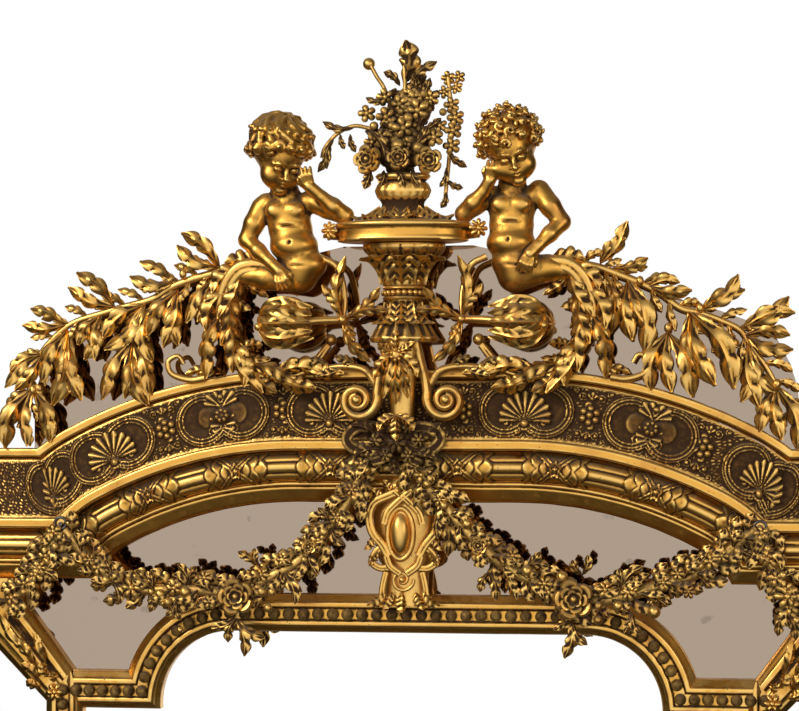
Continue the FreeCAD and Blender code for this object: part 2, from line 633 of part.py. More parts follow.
bottom_rail = box_node("carcass_bottom_rail", ("-" + stile_inner, carcass_front, carcass_foot),
                       ("2 * " + stile_inner, "Sizes.carcass_depth",
                        "Sizes.plate_bottom - Sizes.carcass_inset - " + carcass_foot))
middle_rail = box_node(
    "carcass_middle_rail",
    ("-" + stile_inner, carcass_front,
     "Sizes.step_height + Sizes.step_rise + Sizes.corner_radius + Sizes.carcass_inset"),
    ("2 * " + stile_inner, "Sizes.carcass_depth", moulding_width + " - 2 * Sizes.carcass_inset"))
battens = []
for name in ("lower_batten", "upper_batten"):
    battens.append(box_part(name, ("-%s - Sizes.carcass_stile_width" % stile_inner, "-Sizes.batten_depth",
                                   "Sizes.%s_height" % name),
                            ("2 * (%s + Sizes.carcass_stile_width)" % stile_inner, "Sizes.batten_depth",
                             "Sizes.batten_height")))
doc.recompute()

stile_inner_x = STILE_OUTER - size("carcass_inset") - size("carcass_stile_width")
between_stiles = Part.makeBox(2 * stile_inner_x, FAR, FAR, V(-stile_inner_x, -FAR, 0))
arch_board = [(size("carcass_inset"), size("batten_depth")), (BAND_WIDTH, size("batten_depth")),
              (BAND_WIDTH, CARCASS_FRONT), (size("carcass_inset"), CARCASS_FRONT)]
shape_node("carcass_arch", main_solid(arch_solid(arch_board).common(between_stiles)))

corner_board_low = size("step_height") + size("carcass_inset")
corner_board_in = size("corner_radius") + size("carcass_inset")
corner_board_out = size("corner_radius") + MOULDING - size("carcass_inset")
corner_board = Part.makeCylinder(corner_board_out, size("carcass_depth"),
                                 V(CORNER_X, -size("batten_depth"), CORNER_Z), V(0, -1, 0))
corner_board = corner_board.fuse(Part.makeBox(
    stile_inner_x - size("neck_half_width"), size("carcass_depth"),
    STEP_TOP - size("carcass_inset") - corner_board_low,
    V(size("neck_half_width"), -CARCASS_FRONT, corner_board_low)))
corner_board = corner_board.cut(Part.makeCylinder(corner_board_in, FAR, V(CORNER_X, 0, CORNER_Z),
                                                  V(0, -1, 0)))
corner_board = corner_board.common(prism(
    [(CORNER_X, corner_board_low), (stile_inner_x, corner_board_low),
     (stile_inner_x, PLATE_TOP + size("carcass_inset")), (CORNER_X, PLATE_TOP + size("carcass_inset"))],
    0, FAR))
corner_board = main_solid(corner_board)
shape_node("carcass_corner_blocks", Part.makeCompound([corner_board, mirrored(corner_board)]))

ear_board_in = STILE_OUTER - size("carcass_inset")
ear_board_out = size("ear_half_width") - size("carcass_inset")
ear_board = prism([(ear_board_in, STEP_TOP), (ear_board_out, EAR_TURN_OUT[1] + size("carcass_inset")),
                   (ear_board_out, SHOULDER_TOP - size("carcass_inset") / 2),
                   (ear_board_in, SHOULDER_TOP - size("carcass_inset") / 2)],
                  size("batten_depth"), CARCASS_FRONT)
for side, sign in SIDES:
    shape_node("carcass_ear_" + side, on_side(ear_board, sign))

# ---------------------------------------------------------------- console under the shelf
console = size("console_depth")
shelf_top = SHELF_UNDER + size("shelf_height")
shelf_half = size("shelf_half_width")


def shelf_layer(grow, low, high):
    """One layer of the bow-fronted shelf, grown at its sides and front."""
    half, front = shelf_half + grow, size("shelf_front") + grow
    face = outline_face([(-half, size("shelf_back")), (half, size("shelf_back")), (half, front),
                         (0, front + size("shelf_bow"), "arc"), (-half, front)],
                        lambda point: V(point[0], -point[1], low))
    return face.extrude(V(0, 0, high - low))


shelf_slab = size("shelf_height") * 0.3
shelf = fused([shelf_layer(0, SHELF_UNDER, shelf_top), shelf_layer(4, shelf_top - shelf_slab, shelf_top)])
shape_node("console_shelf", shelf)

capital_foot = SHELF_UNDER - size("capital_height")
waist = size("capital_waist_radius")
flare = size("capital_top_radius")
capital = turned(0, console, [
    (waist, capital_foot), (waist + (flare - waist) * 0.2, capital_foot + size("capital_height") * 0.5,
                            "arc"),
    (flare, SHELF_UNDER - 8), (flare, SHELF_UNDER)])
collar_foot = capital_foot - size("collar_height")
collar = turned(0, console, [
    (size("collar_radius") - 3, collar_foot), (size("collar_radius"),
                                               collar_foot + size("collar_height") / 4, "arc"),
    (size("collar_radius") - 3, collar_foot + size("collar_height") / 2),
    (size("collar_radius"), collar_foot + size("collar_height") * 0.75, "arc"),
    (size("collar_radius") - 3, capital_foot)])
shape_node("console_capital", fused([capital, collar]))

pedestal_foot = collar_foot - size("pedestal_height")
foot_radius, head_radius = size("pedestal_foot_radius"), size("pedestal_top_radius")
pedestal = turned(0, console, [
    (foot_radius * 0.8, pedestal_foot - 8), (foot_radius, pedestal_foot),
    (head_radius + (foot_radius - head_radius) * 0.22, pedestal_foot + size("pedestal_height") * 0.5, "arc"),
    (head_radius, collar_foot - size("seat_gap")), (head_radius - 2, collar_foot)])
flutes = []
flute_count = 7
for index in range(flute_count):
    turn = math.radians(-180 + 180 * (index + 0.5) / flute_count)
    flutes.append(bar((foot_radius * math.cos(turn), console - foot_radius * math.sin(turn), pedestal_foot),
                      (head_radius * math.cos(turn), console - head_radius * math.sin(turn), collar_foot), 4))
strip_foot = ARCH_TOP - (BAND_WIDTH - FRIEZE_AT) + size("volute_radius")
strip = Part.makeBox(2 * size("strip_half_width"), size("strip_front") - size("middle_fillet_front"),
                     pedestal_foot - strip_foot + size("seat_gap"),
                     V(-size("strip_half_width"), -size("strip_front"), strip_foot))
pedestal = main_solid(fused([pedestal.cut(flutes), strip]))
shape_node("console_pedestal", cut_clear(pedestal, ARCH_SHAPES))

volute_rise = ARCH_TOP - (BAND_WIDTH - FRIEZE_AT) / 2 + 6
volute_centre = V(size("volute_offset"), 0, volute_rise)


def volute_disc(radius, back, front):
    """A disc of the volute between two depths."""
    return Part.makeCylinder(radius, front - back, volute_centre + V(0, -back, 0), V(0, -1, 0))


volute_back = size("frieze_inner_front") + size("seat_gap")
volute_face = size("volute_front") - 10
volute_ring = volute_disc(size("volute_radius"), volute_back, size("volute_front")).cut(
    volute_disc(size("volute_radius") - size("volute_band"), volute_face, FAR))
volute_eye = volute_disc(size("volute_radius") * 0.32, volute_face, size("volute_front"))
arm_line = [(size("strip_half_width") + 4, pedestal_foot - 6),
            (size("volute_offset") * 0.7, volute_rise + 40),
            (size("volute_offset") + 6, volute_rise + 34), (size("volute_offset") + 26, volute_rise + 16)]
arm = ribbon(arm_line, size("volute_band") + 4, volute_back, size("volute_front"))
outer_line = [(size("volute_offset") - 4, volute_rise + 42), (size("volute_offset") + 24, ARCH_TOP + 6),
              (size("volute_offset") + size("volute_arm"), ARCH_TOP + 5)]
outer_arm = ribbon(outer_line, size("volute_band"), size("top_fillet_front") + size("seat_gap"),
                   size("volute_front") - 8)
volute = fused([volute_ring, volute_eye, arm, outer_arm])
volute = cut_clear(volute, ARCH_SHAPES + [shape_of("console_pedestal")])
for side, sign in SIDES:
    shape_node("console_volute_" + side, on_side(volute, sign))
CONSOLE_SHAPES = [shape_of("console_" + name) for name in
                  ("shelf", "capital", "pedestal", "volute_left", "volute_right")]

# ---------------------------------------------------------------- urn and bouquet
neck = size("urn_neck_radius")
bowl = size("urn_bowl_radius")
foot_w, foot_d = size("urn_foot_half_width"), size("urn_foot_half_depth")
urn_top = shelf_top + size("urn_height")
urn_foot = oval_loft(0, console, [
    (shelf_top, foot_w, foot_d), (shelf_top + 5, foot_w * 0.9, foot_d * 0.92),
    (shelf_top + 12, foot_w * 0.55, foot_d * 0.75), (shelf_top + 30, neck * 1.1, neck)])
urn_bowl = oval_loft(0, console, [
    (shelf_top + 30, neck * 1.1, neck), (shelf_top + 36, neck, neck * 0.95),
    (shelf_top + 52, bowl * 0.92, bowl * 0.88), (urn_top, bowl, bowl * 0.94)])
shape_node("urn", fused([urn_foot, urn_bowl]))

tall = size("bouquet_height")
BOUQUET_BALLS = ((3, 4, 0.10, 37), (-44, 9, 0.15, 22), (36, 12, 0.13, 24), (-8, -3, 0.30, 31),
                 (25, 5, 0.34, 25),
                 (-27, 2, 0.44, 18), (57, -4, 0.48, 19), (11, 3, 0.55, 21), (64, 2, 0.66, 15))
BOUQUET_LEAVES = (((0, 0.62), (2, 1.0), 30), ((10, 0.66), (52, 0.84), 20), ((-8, 0.5), (-52, 0.86), 12),
                  ((-30, 0.3), (-122, 0.36), 18), ((-62, 0.32), (-126, 0.12), 16),
                  ((50, 0.34), (66, -0.22), 18), ((60, 0.36), (92, 0.06), 16), ((-20, 0.1), (-56, -0.06), 18))
pieces = [ball(x, console + ahead, urn_top + share * tall, radius) for x, ahead, share,
          radius in BOUQUET_BALLS]
for layer, (base, tip, width) in enumerate(BOUQUET_LEAVES):
    back = console - 4 * LAYER_STEP + layer * LAYER_STEP * 1.37
    pieces.append(leaf((base[0], urn_top + base[1] * tall), (tip[0], urn_top + tip[1] * tall), width,
                       back, back + size("leaf_thickness")))
bouquet = cut_clear(carved(pieces), [shape_of("urn")])
shape_node("bouquet", bouquet)
CONSOLE_SHAPES += [shape_of("urn"), shape_of("bouquet")]

# ---------------------------------------------------------------- laurel branches
leaf_long, leaf_wide = size("leaf_length"), size("leaf_width")
leaf_back = size("stem_front") - size("leaf_thickness") / 2
leaf_front = leaf_back + size("leaf_thickness")


def stem_point(share):
    """A point a share of the way along the stem line, and the stem's direction there."""
    place = share * (len(STEM_LINE) - 1)
    index = min(int(place), len(STEM_LINE) - 2)
    rest = place - index
    (x0, z0), (x1, z1) = STEM_LINE[index], STEM_LINE[index + 1]
    return (x0 + (x1 - x0) * rest, z0 + (z1 - z0) * rest), math.atan2(z1 - z0, x1 - x0)


def spray(place, angle, count, spread, scale):
    """A spray of leaves from one place, fanned about an angle, each a little in front of the last."""
    blades = []
    for index in range(count):
        lift = index * LAYER_STEP
        turn = angle + spread * (index - (count - 1) / 2)
        length = leaf_long * scale * (1 - 0.08 * abs(index - (count - 1) / 2))
        tip = (place[0] + length * math.cos(turn), place[1] + length * math.sin(turn))
        blades.append(leaf(place, tip, leaf_wide * scale, leaf_back + lift, leaf_front + lift))
    return blades


def branch_shape():
    """One laurel branch: the stem on the crest's edge with its sprays of leaves."""
    pieces = [ribbon(STEM_LINE, size("stem_width"), OVER_PLATE, size("stem_front"))]
    upper_shares = (0.12, 0.26, 0.40, 0.54, 0.68)
    for share in upper_shares:
        place, heading = stem_point(share)
        pieces += spray(place, heading + math.radians(62), 2, math.radians(30), 1.2)
    lower_shares = (0.04, 0.14, 0.24, 0.34, 0.46, 0.58, 0.72, 0.86)
    for share in lower_shares:
        place, heading = stem_point(share)
        pieces += spray(place, heading - math.radians(52), 3, math.radians(26), 1.25)
        drop = (place[0] + leaf_long * 0.9, place[1] - leaf_long * 0.9)
        pieces.append(ribbon([place, drop], size("stem_width") / 2, leaf_back, leaf_front))
        pieces += spray(drop, math.radians(-75), 2, math.radians(30), 1.0)
    place, _ = stem_point(1.0)
    pieces += spray(place, math.radians(-88), 3, math.radians(32), 1.1)
    return carved(pieces)


branch = cut_clear(branch_shape(), ARCH_SHAPES + SHOULDERS)
for side, sign in SIDES:
    shape_node("laurel_branch_" + side, on_side(branch, sign))

# ---------------------------------------------------------------- acanthus scrolls and rolled leaves
scroll_x, scroll_z = size("scroll_centre"), ARCH_TOP + size("scroll_rise")
ring_out = size("scroll_radius") + size("scroll_band")
scroll_ring = Part.makeCylinder(ring_out, size("scroll_front") - OVER_PLATE,
                                V(scroll_x, -OVER_PLATE, scroll_z),
                                V(0, -1, 0))
scroll_ring = scroll_ring.cut(Part.makeCylinder(size("scroll_radius"), FAR, V(scroll_x, 0, scroll_z),
                                                V(0, -1, 0)))
mouth = prism([(scroll_x, scroll_z), (scroll_x - 2 * ring_out, scroll_z + 1.5 * ring_out),
               (scroll_x - 2 * ring_out, scroll_z + 0.2 * ring_out)], 0, FAR)
scroll_ring = main_solid(scroll_ring.cut(mouth))
SCROLL_LEAVES = (((60, 62), (112, 4), 34), ((64, 30), (120, -76), 26), ((48, -30), (36, -98), 30),
                 ((20, -52), (62, -82), 24), ((-20, -56), (-60, -84), 26), ((30, 78), (86, 60), 30))
scroll_leaves = [leaf((scroll_x + base[0], scroll_z + base[1]), (scroll_x + tip[0], scroll_z + tip[1]), width,
                      leaf_back, size("scroll_front")) for base, tip, width in SCROLL_LEAVES]
hip = ribbon([(scroll_x + 8, scroll_z + ring_out - 6), (scroll_x + 34, scroll_z + ring_out + 4),
              (size("hip_half_width"), scroll_z + ring_out - 4)], 26, OVER_PLATE, size("scroll_front"))
scroll = carved([scroll_ring, hip] + scroll_leaves)
scroll = cut_clear(scroll, ARCH_SHAPES + [branch] + CONSOLE_SHAPES)
for side, sign in SIDES:
    shape_node("acanthus_scroll_" + side, on_side(scroll, sign))

bud_long, bud_high, bud_deep = size("bud_half_length"), size("bud_half_height"), size("bud_half_depth")
bud_depth = size("bud_depth")
bud = limb([(scroll_x - 0.6 * bud_long, bud_depth, scroll_z + 12), (scroll_x - 6, bud_depth, scroll_z + 4),
            (scroll_x + 0.6 * bud_long, bud_depth, scroll_z + 2)], [bud_deep * 0.8, bud_high, bud_deep * 0.7])
sprig_root = (scroll_x - 94, scroll_z + 10)
SPRIG_TIPS = ((-34, 50), (2, 94), (56, 54), (62, 14), (42, -58), (-6, 66))
sprig_back = size("bud_depth") - size("leaf_thickness") / 2
sprig_front = sprig_back + size("leaf_thickness")
sprig = [leaf(sprig_root, (sprig_root[0] - tip[0], sprig_root[1] + tip[1]), leaf_wide * 1.3, sprig_back,
              sprig_front)
         for tip in SPRIG_TIPS]
sprig.append(ribbon([(scroll_x - bud_long, scroll_z + 8), sprig_root], size("stem_width"), sprig_back,
                    sprig_front))
knob = ball(scroll_x + bud_long - 16, size("bud_depth"), scroll_z + 4, 9)
bud_with_sprig = carved([bud, knob] + sprig)
bud_with_sprig = cut_clear(bud_with_sprig, [scroll] + CONSOLE_SHAPES)
for side, sign in SIDES:
    shape_node("rolled_leaf_" + side, on_side(bud_with_sprig, sign))


# ---------------------------------------------------------------- cherubs
def putto_shape(elbow_in, hand_up, elbow_out, hand_down):
    """A half-length cherub on the right: torso, head, raised arm on the shelf and lowered arm."""
    x, deep, tall_body = size("putto_offset"), size("putto_depth"), size("putto_height")
    foot = ARCH_TOP + 124
    neck_z = foot + tall_body * 0.53
    chest, belly = size("chest_radius"), size("waist_radius")
    head = size("head_radius")
    torso = limb([(x - 2, deep, foot + 16), (x - 2, deep, foot + tall_body * 0.2),
                  (x, deep, foot + tall_body * 0.41), (x - 3, deep, neck_z + 12)],
                 [belly - 2, belly, chest, 17])
    skull = ball(x - 4, deep + 4, foot + tall_body - head, head)
    face = ball(x - 2, deep + 12, foot + tall_body - 1.9 * head, head * 0.74)
    arm_radius = size("arm_radius")
    shoulder_z = neck_z - 14
    raised = limb([(x - 28, deep, shoulder_z), elbow_in, hand_up],
                  [arm_radius + 2, arm_radius, arm_radius - 3])
    lowered = limb([(x + 28, deep, shoulder_z), elbow_out, hand_down],
                   [arm_radius + 2, arm_radius, arm_radius - 3])
    return carved([torso, skull, face, raised, lowered])


putto_x, putto_y = size("putto_offset"), size("putto_depth")
elbow_z = shelf_top + size("arm_radius") + size("seat_gap")
putto_right = putto_shape((putto_x - 72, putto_y + 6, elbow_z), (putto_x - 34, putto_y + 22, elbow_z + 50),
                          (putto_x + 68, putto_y, shelf_top - 8),
                          (putto_x + 12, putto_y + 30, shelf_top - 52))
seats = CONSOLE_SHAPES + [bud_with_sprig, scroll]
putto_right = cut_clear(putto_right, seats)
for side, sign in SIDES:
    shape_node("putto_" + side, on_side(putto_right, sign))

# ---------------------------------------------------------------- keystone cartouche
key_half, shaft_half = size("keystone_half_width"), size("keystone_shaft_half")
key_foot, key_top = PLATE_TOP + size("bead_inset") + 12, size("arch_crown") + REEDING_AT + 4
key_front = size("keystone_front")
oval_z = (PLATE_TOP + MOULDING + size("arch_crown")) / 2 + 24
key_shaft = prism([(-shaft_half, key_foot + 6), (shaft_half, key_foot + 6), (shaft_half, key_top),
                   (-shaft_half, key_top)], OVER_PLATE, key_front - 18)
shaft_core = shaft_half - size("rebate_width")
key_core = prism([(-shaft_core, PLATE_TOP + MOULDING), (shaft_core, PLATE_TOP + MOULDING),
                  (shaft_core, size("arch_crown")), (-shaft_core, size("arch_crown"))],
                 CARCASS_FRONT, key_front - 18)
shield = prism([(-key_half * 0.5, oval_z - 60), (key_half * 0.5, oval_z - 60),
                (key_half, oval_z, "arc"), (key_half * 0.75, key_top), (-key_half * 0.75, key_top),
                (-key_half, oval_z, "arc")], key_front - 22, key_front - 8)
foot_leaf = prism([(-key_half, key_foot), (key_half, key_foot), (shaft_half, key_foot + 30),
                   (-shaft_half, key_foot + 30)], size("frame_front") + size("seat_gap"), key_front - 10)
keystone = fused([key_core, key_shaft, shield, foot_leaf])
cabochon = Part.makeSphere(1)
stretch = FreeCAD.Matrix()
stretch.scale(size("cabochon_half_width"), size("cabochon_depth"), size("cabochon_half_height"))
cabochon = cabochon.transformGeometry(stretch)
cabochon.translate(V(0, -(key_front - 8), oval_z))
cabochon = main_solid(cabochon.cut(keystone))
frame_pieces = ARCH_SHAPES + [node.Shape for node in NODES if node.Label in ("top_moulding", "frame_beads")]
frame_pieces += [upper_plate, mirrored(upper_plate)]
keystone = cut_clear(keystone, frame_pieces)
shape_node("keystone_cartouche", keystone)
shape_node("cartouche_cabochon", cabochon)

# ---------------------------------------------------------------- bow, garlands and hooks
bow_z = size("arch_crown") + FRIEZE_AT
bow_depth = size("middle_fillet_front") + 12
bow_x = size("bow_half_width")
bow = carved([ball(0, bow_depth, bow_z, 17), ball(-bow_x * 0.5, bow_depth, bow_z + 6, 16),
             ball(bow_x * 0.5, bow_depth, bow_z + 6, 16), ball(-bow_x, bow_depth, bow_z - 4, 13),
             ball(bow_x, bow_depth, bow_z - 4, 13), ball(0, bow_depth, bow_z - 20, 14)])
bow = cut_clear(bow, ARCH_SHAPES + CONSOLE_SHAPES)
shape_node("bow_cluster", bow)

hook_x = size("hook_half_width")
hook_z = size("shoulder_height") + MIDDLE_FILLET_AT + size("middle_fillet_width") / 2
hook_depth = size("middle_fillet_front") + size("hook_wire_radius") + size("seat_gap")
hook = Part.makeTorus(size("hook_radius"), size("hook_wire_radius"), V(hook_x, -hook_depth, hook_z),
                      V(0, 1, 0))
shape_node("garland_hooks", Part.makeCompound([hook, mirrored(hook)]))

# share of the way from bow to hook, share of the sag, and swelling of the garland there
GARLAND_RUN = ((0.06, 0.10, 0.9), (0.12, 0.42, 0.8), (0.20, 0.74, 0.9), (0.30, 0.92, 1.0),
               (0.38, 1.14, 1.1), (0.48, 1.36, 1.3), (0.58, 1.34, 1.2), (0.68, 1.28, 1.1),
               (0.78, 1.10, 1.2), (0.88, 0.74, 1.0), (0.95, 0.38, 0.9))
GARLAND_SWAY = 2.5
garland_points, garland_radii = [], []
for index, (share, sag, swell) in enumerate(GARLAND_RUN):
    x = share * hook_x
    level = bow_z + (hook_z - bow_z) * share
    garland_points.append((x, size("garland_front") + GARLAND_SWAY * (-1) ** index,
                           level - sag * size("garland_sag")))
    garland_radii.append(size("garland_radius") * swell)
knot_radius = size("garland_radius") * 0.6
garland_points.append((hook_x, hook_depth, hook_z - size("hook_radius") - size("hook_wire_radius")
                       - knot_radius - size("seat_gap")))
garland_radii.append(knot_radius)
DROP_RUN = ((14, 34, 0.8), (30, 70, 1.0), (52, 104, 1.2), (74, 140, 1.1), (92, 176, 0.8))
drop_points = [garland_points[-1]] + [(hook_x + across, size("garland_front"), hook_z - down - 16)
                                      for across, down, _ in DROP_RUN]
drop_radii = [garland_radii[-1]] + [size("garland_radius") * swell for _, _, swell in DROP_RUN]
rose_point = garland_points[5]
rose = ball(rose_point[0], size("garland_front") - 6, rose_point[2], size("rose_radius"))
garland_leaf_back = size("garland_front") - size("leaf_thickness") * 1.2
GARLAND_LEAVES = ((0, -2, -40), (2, 36, 26), (3, -34, -34), (5, -6, -58), (5, 24, -46), (7, -18, -40),
                  (8, 20, -36), (9, -30, 28), (10, 26, -22), (5, 44, 22))
blades = []
for layer, (index, across, rise) in enumerate(GARLAND_LEAVES):
    base = garland_points[index]
    back = garland_leaf_back + layer * LAYER_STEP
    blades.append(leaf((base[0], base[2]), (base[0] + across, base[2] + rise), leaf_wide * 1.4,
                       back, back + size("leaf_thickness")))
DROP_LEAVES = ((1, 34, -8), (2, -34, -20), (3, 36, -24), (4, -32, -30), (5, 16, -40))
for layer, (index, across, rise) in enumerate(DROP_LEAVES):
    base = drop_points[index]
    tip_x = min(base[0] + across, size("ear_half_width") - 4)
    back = garland_leaf_back + layer * LAYER_STEP
    blades.append(leaf((base[0], base[2]), (tip_x, base[2] + rise), leaf_wide * 1.3,
                       back, back + size("leaf_thickness")))
garland = carved([limb(garland_points, garland_radii), limb(drop_points, drop_radii), rose] + blades)
garland = cut_clear(garland, ARCH_SHAPES + SHOULDERS + [bow, hook, keystone])
for side, sign in SIDES:
    shape_node("garland_" + side, on_side(garland, sign))

# ---------------------------------------------------------------- corner leaves at the foot
corner_leaf = size("corner_leaf_length")
corner_at = (STILE_OUTER - MOULDING * 0.4, size("plate_bottom") - MOULDING * 0.6)
corner_back = size("channel_front") + BEAD_STAND + size("seat_gap")
corner_blades = [leaf(corner_at, (corner_at[0] + corner_leaf * math.cos(math.radians(turn)),
                                  corner_at[1] + corner_leaf * math.sin(math.radians(turn))), 24,
                      corner_back + layer, corner_back + layer + size("corner_leaf_depth"))
                 for layer, turn in enumerate((90, 180, 135))]
corner_shape = carved(corner_blades)
shape_node("foot_corner_leaves", Part.makeCompound([corner_shape, mirrored(corner_shape)]))


# ---------------------------------------------------------------- hangers, wall plates and screws
def screw(x, z, face):
    """A round-headed wood screw driven forwards into the carcass, its head on a plate's back face."""
    shank = Part.makeCylinder(size("screw_radius"), size("screw_length"), V(x, -face, z), V(0, -1, 0))
    head = Part.makeCylinder(size("screw_head_radius"), size("screw_head_depth"),
                             V(x, -face + size("screw_head_depth"), z), V(0, -1, 0))
    return shank.fuse(head)


plate_back = size("batten_depth") - size("hanger_plate_depth")
eye_depth = plate_back - size("knuckle_radius")
half_plate = size("hanger_plate_width") / 2
hanger_x, hanger_z = size("hanger_offset"), size("hanger_height")
plate_top = hanger_z + size("hanger_plate_height")
knuckle_bore = size("ring_wire_radius") + size("knuckle_clearance")
hanger = Part.makeBox(2 * half_plate, size("hanger_plate_depth"), plate_top - hanger_z,
                      V(hanger_x - half_plate, -size("batten_depth"), hanger_z))
knuckle = bar((hanger_x - size("knuckle_half_length"), eye_depth, hanger_z + 8),
              (hanger_x + size("knuckle_half_length"), eye_depth, hanger_z + 8), size("knuckle_radius"))
saddle = Part.makeBox(2 * size("knuckle_half_length"), size("knuckle_radius"), 2 * size("knuckle_radius"),
                      V(hanger_x - size("knuckle_half_length"), -plate_back,
                        hanger_z + 8 - size("knuckle_radius")))
bore = bar((hanger_x - half_plate, eye_depth, hanger_z + 8), (hanger_x + half_plate, eye_depth, hanger_z + 8),
           knuckle_bore)
hanger = fused([hanger, knuckle, saddle]).cut(bore)
hanger_screws = [(hanger_x, hanger_z + 28), (hanger_x, hanger_z + size("hanger_plate_height") - 14)]
for x, z in hanger_screws:
    hanger = hanger.cut(Part.makeCylinder(size("screw_radius"), FAR, V(x, 1, z), V(0, -1, 0)))
shape_node("hanger_plates", Part.makeCompound([hanger, mirrored(hanger)]))

wire = size("ring_wire_radius")
ring_r = size("ring_radius")


def ring_node(side, sign):
    """A hanger ring: a straight bar in the knuckle, two legs and a round bow, joined into one."""
    x, y, z = sign * hanger_x, -eye_depth, hanger_z + 8
    pieces = []
    axle = doc.addObject("Part::Cylinder", "ring_axle_" + side)
    axle.setExpression("Radius", "Sizes.ring_wire_radius")
    axle.setExpression("Height", "2 * Sizes.ring_radius")
    axle.Placement = FreeCAD.Placement(V(x - ring_r, y, z), FreeCAD.Rotation(V(0, 1, 0), 90))
    pieces.append(axle)
    for end in (-1, 1):
        leg = doc.addObject("Part::Cylinder", "ring_leg_%s_%d" % (side, end + 1))
        leg.setExpression("Radius", "Sizes.ring_wire_radius")
        leg.setExpression("Height", "Sizes.ring_drop")
        leg.Placement = FreeCAD.Placement(V(x + end * ring_r, y, z - size("ring_drop")), FreeCAD.Rotation())
        elbow = doc.addObject("Part::Sphere", "ring_elbow_%s_%d" % (side, end + 1))
        elbow.setExpression("Radius", "Sizes.ring_wire_radius * 1.02")
        elbow.Placement = FreeCAD.Placement(V(x + end * ring_r, y, z), FreeCAD.Rotation())
        pieces += [leg, elbow]
    bow_ring = doc.addObject("Part::Torus", "ring_bow_" + side)
    bow_ring.setExpression("Radius1", "Sizes.ring_radius")
    bow_ring.setExpression("Radius2", "Sizes.ring_wire_radius")
    bow_ring.Angle3 = 180
    bow_ring.Placement = FreeCAD.Placement(V(x, y, z - size("ring_drop")), FreeCAD.Rotation(V(1, 0, 0), -90))
    pieces.append(bow_ring)
    ring = doc.addObject("Part::MultiFuse", "hanger_ring_" + side)
    ring.Shapes = pieces
    ring.Label = "hanger_ring_" + side
    NODES.append(ring)


for side, sign in SIDES:
    ring_node(side, sign)

wall_x = stile_inner_x + size("carcass_stile_width") + size("wall_plate_reach")
wall_zs = [size("lower_batten_height") + size("batten_height") / 2,
           size("upper_batten_height") + size("batten_height") / 2]
wall_in = wall_x + size("wall_plate_width") / 2 - size("wall_plate_length")
wall_plates, batten_cuts, screws = [], [], [screw(x, z, plate_back) for x, z in hanger_screws]
for z in wall_zs:
    tab = Part.makeBox(size("wall_plate_length"), size("wall_plate_depth"), size("wall_plate_width"),
                       V(wall_in, -size("wall_plate_depth"), z - size("wall_plate_width") / 2))
    hole = Part.makeCylinder(size("wall_hole_radius"), FAR, V(wall_x, 1, z), V(0, -1, 0))
    fixing_x = wall_in + 10
    fixing = Part.makeCylinder(size("screw_radius"), FAR, V(fixing_x, 1, z), V(0, -1, 0))
    wall_plates.append(tab.cut([hole, fixing]))
    batten_cuts.append(tab)
    batten_cuts.append(Part.makeCylinder(size("screw_radius"), FAR, V(fixing_x, 1, z), V(0, -1, 0)))
    screws.append(Part.makeCylinder(size("screw_radius"), size("screw_length"), V(fixing_x, 0, z),
                                    V(0, -1, 0)))
shape_node("wall_plates", Part.makeCompound(wall_plates + [mirrored(plate) for plate in wall_plates]))
shape_node("fixing_screws", Part.makeCompound(screws + [mirrored(piece) for piece in screws]))
both_cuts = batten_cuts + [mirrored(piece) for piece in batten_cuts]
screw_holes = screws + [mirrored(piece) for piece in screws]
shape_node("wall_battens", Part.makeCompound([batten.Shape.cut(both_cuts) for batten in battens]))
for side, sign in SIDES:
    board = carcass_stiles[side]
    drilled = doc.addObject("Part::Cut", "drilled_stile_" + side)
    tool = doc.addObject("Part::Feature", "stile_holes_" + side)
    tool.Shape = Part.makeCompound(screw_holes)
    drilled.Base, drilled.Tool = board, tool
    NODES[NODES.index(board)] = drilled
    board.Label = "board_" + side
    drilled.Label = "carcass_stile_" + side
doc.recompute()

# ---------------------------------------------------------------- test and export
for thing in doc.Objects:
    if "Invalid" in thing.State or "Error" in thing.State:
        raise RuntimeError("%s did not recompute" % thing.Label)
for node in NODES:
    if node.Shape.isNull() or not node.Shape.isValid():
        raise RuntimeError("%s has no valid shape" % node.Label)
os.makedirs("parts", exist_ok=True)
for node in NODES:
    node.Shape.exportStep("parts/%s.step" % node.Label)
    print("%-24s %2d solids %12.0f mm3" % (node.Label, len(node.Shape.Solids), node.Shape.Volume))
print(len(NODES), "nodes")
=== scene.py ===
"""Looks of a carved and gilt trumeau mirror with a stepped main plate, an arch and a pierced crest.

Shapes are worked out in millimetres with x to the right, y to the back and z up, so that the front is
at negative y, and become metres when a piece is finished. Places that were read off the picture are
pairs of pixels, and the fitted viewpoint turns them into places at a depth in front of the wall.
"""

import logging
import math
from dataclasses import dataclass, field
from enum import Enum
from typing import Callable, Sequence

import bpy
import numpy as np
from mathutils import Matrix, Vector

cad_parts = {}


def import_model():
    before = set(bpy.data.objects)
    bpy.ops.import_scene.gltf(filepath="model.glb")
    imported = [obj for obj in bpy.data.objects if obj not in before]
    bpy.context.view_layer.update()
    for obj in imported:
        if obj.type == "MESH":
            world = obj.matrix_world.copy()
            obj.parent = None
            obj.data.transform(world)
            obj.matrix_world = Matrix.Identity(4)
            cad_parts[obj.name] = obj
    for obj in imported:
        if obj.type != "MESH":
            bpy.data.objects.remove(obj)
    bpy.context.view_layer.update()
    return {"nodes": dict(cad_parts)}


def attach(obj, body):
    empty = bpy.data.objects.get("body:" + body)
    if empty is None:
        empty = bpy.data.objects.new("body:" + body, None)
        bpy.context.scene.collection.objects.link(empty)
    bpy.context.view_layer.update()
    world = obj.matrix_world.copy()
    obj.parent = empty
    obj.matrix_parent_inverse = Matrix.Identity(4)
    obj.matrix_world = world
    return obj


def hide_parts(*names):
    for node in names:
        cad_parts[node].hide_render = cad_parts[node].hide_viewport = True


LOG = logging.getLogger("mirror")
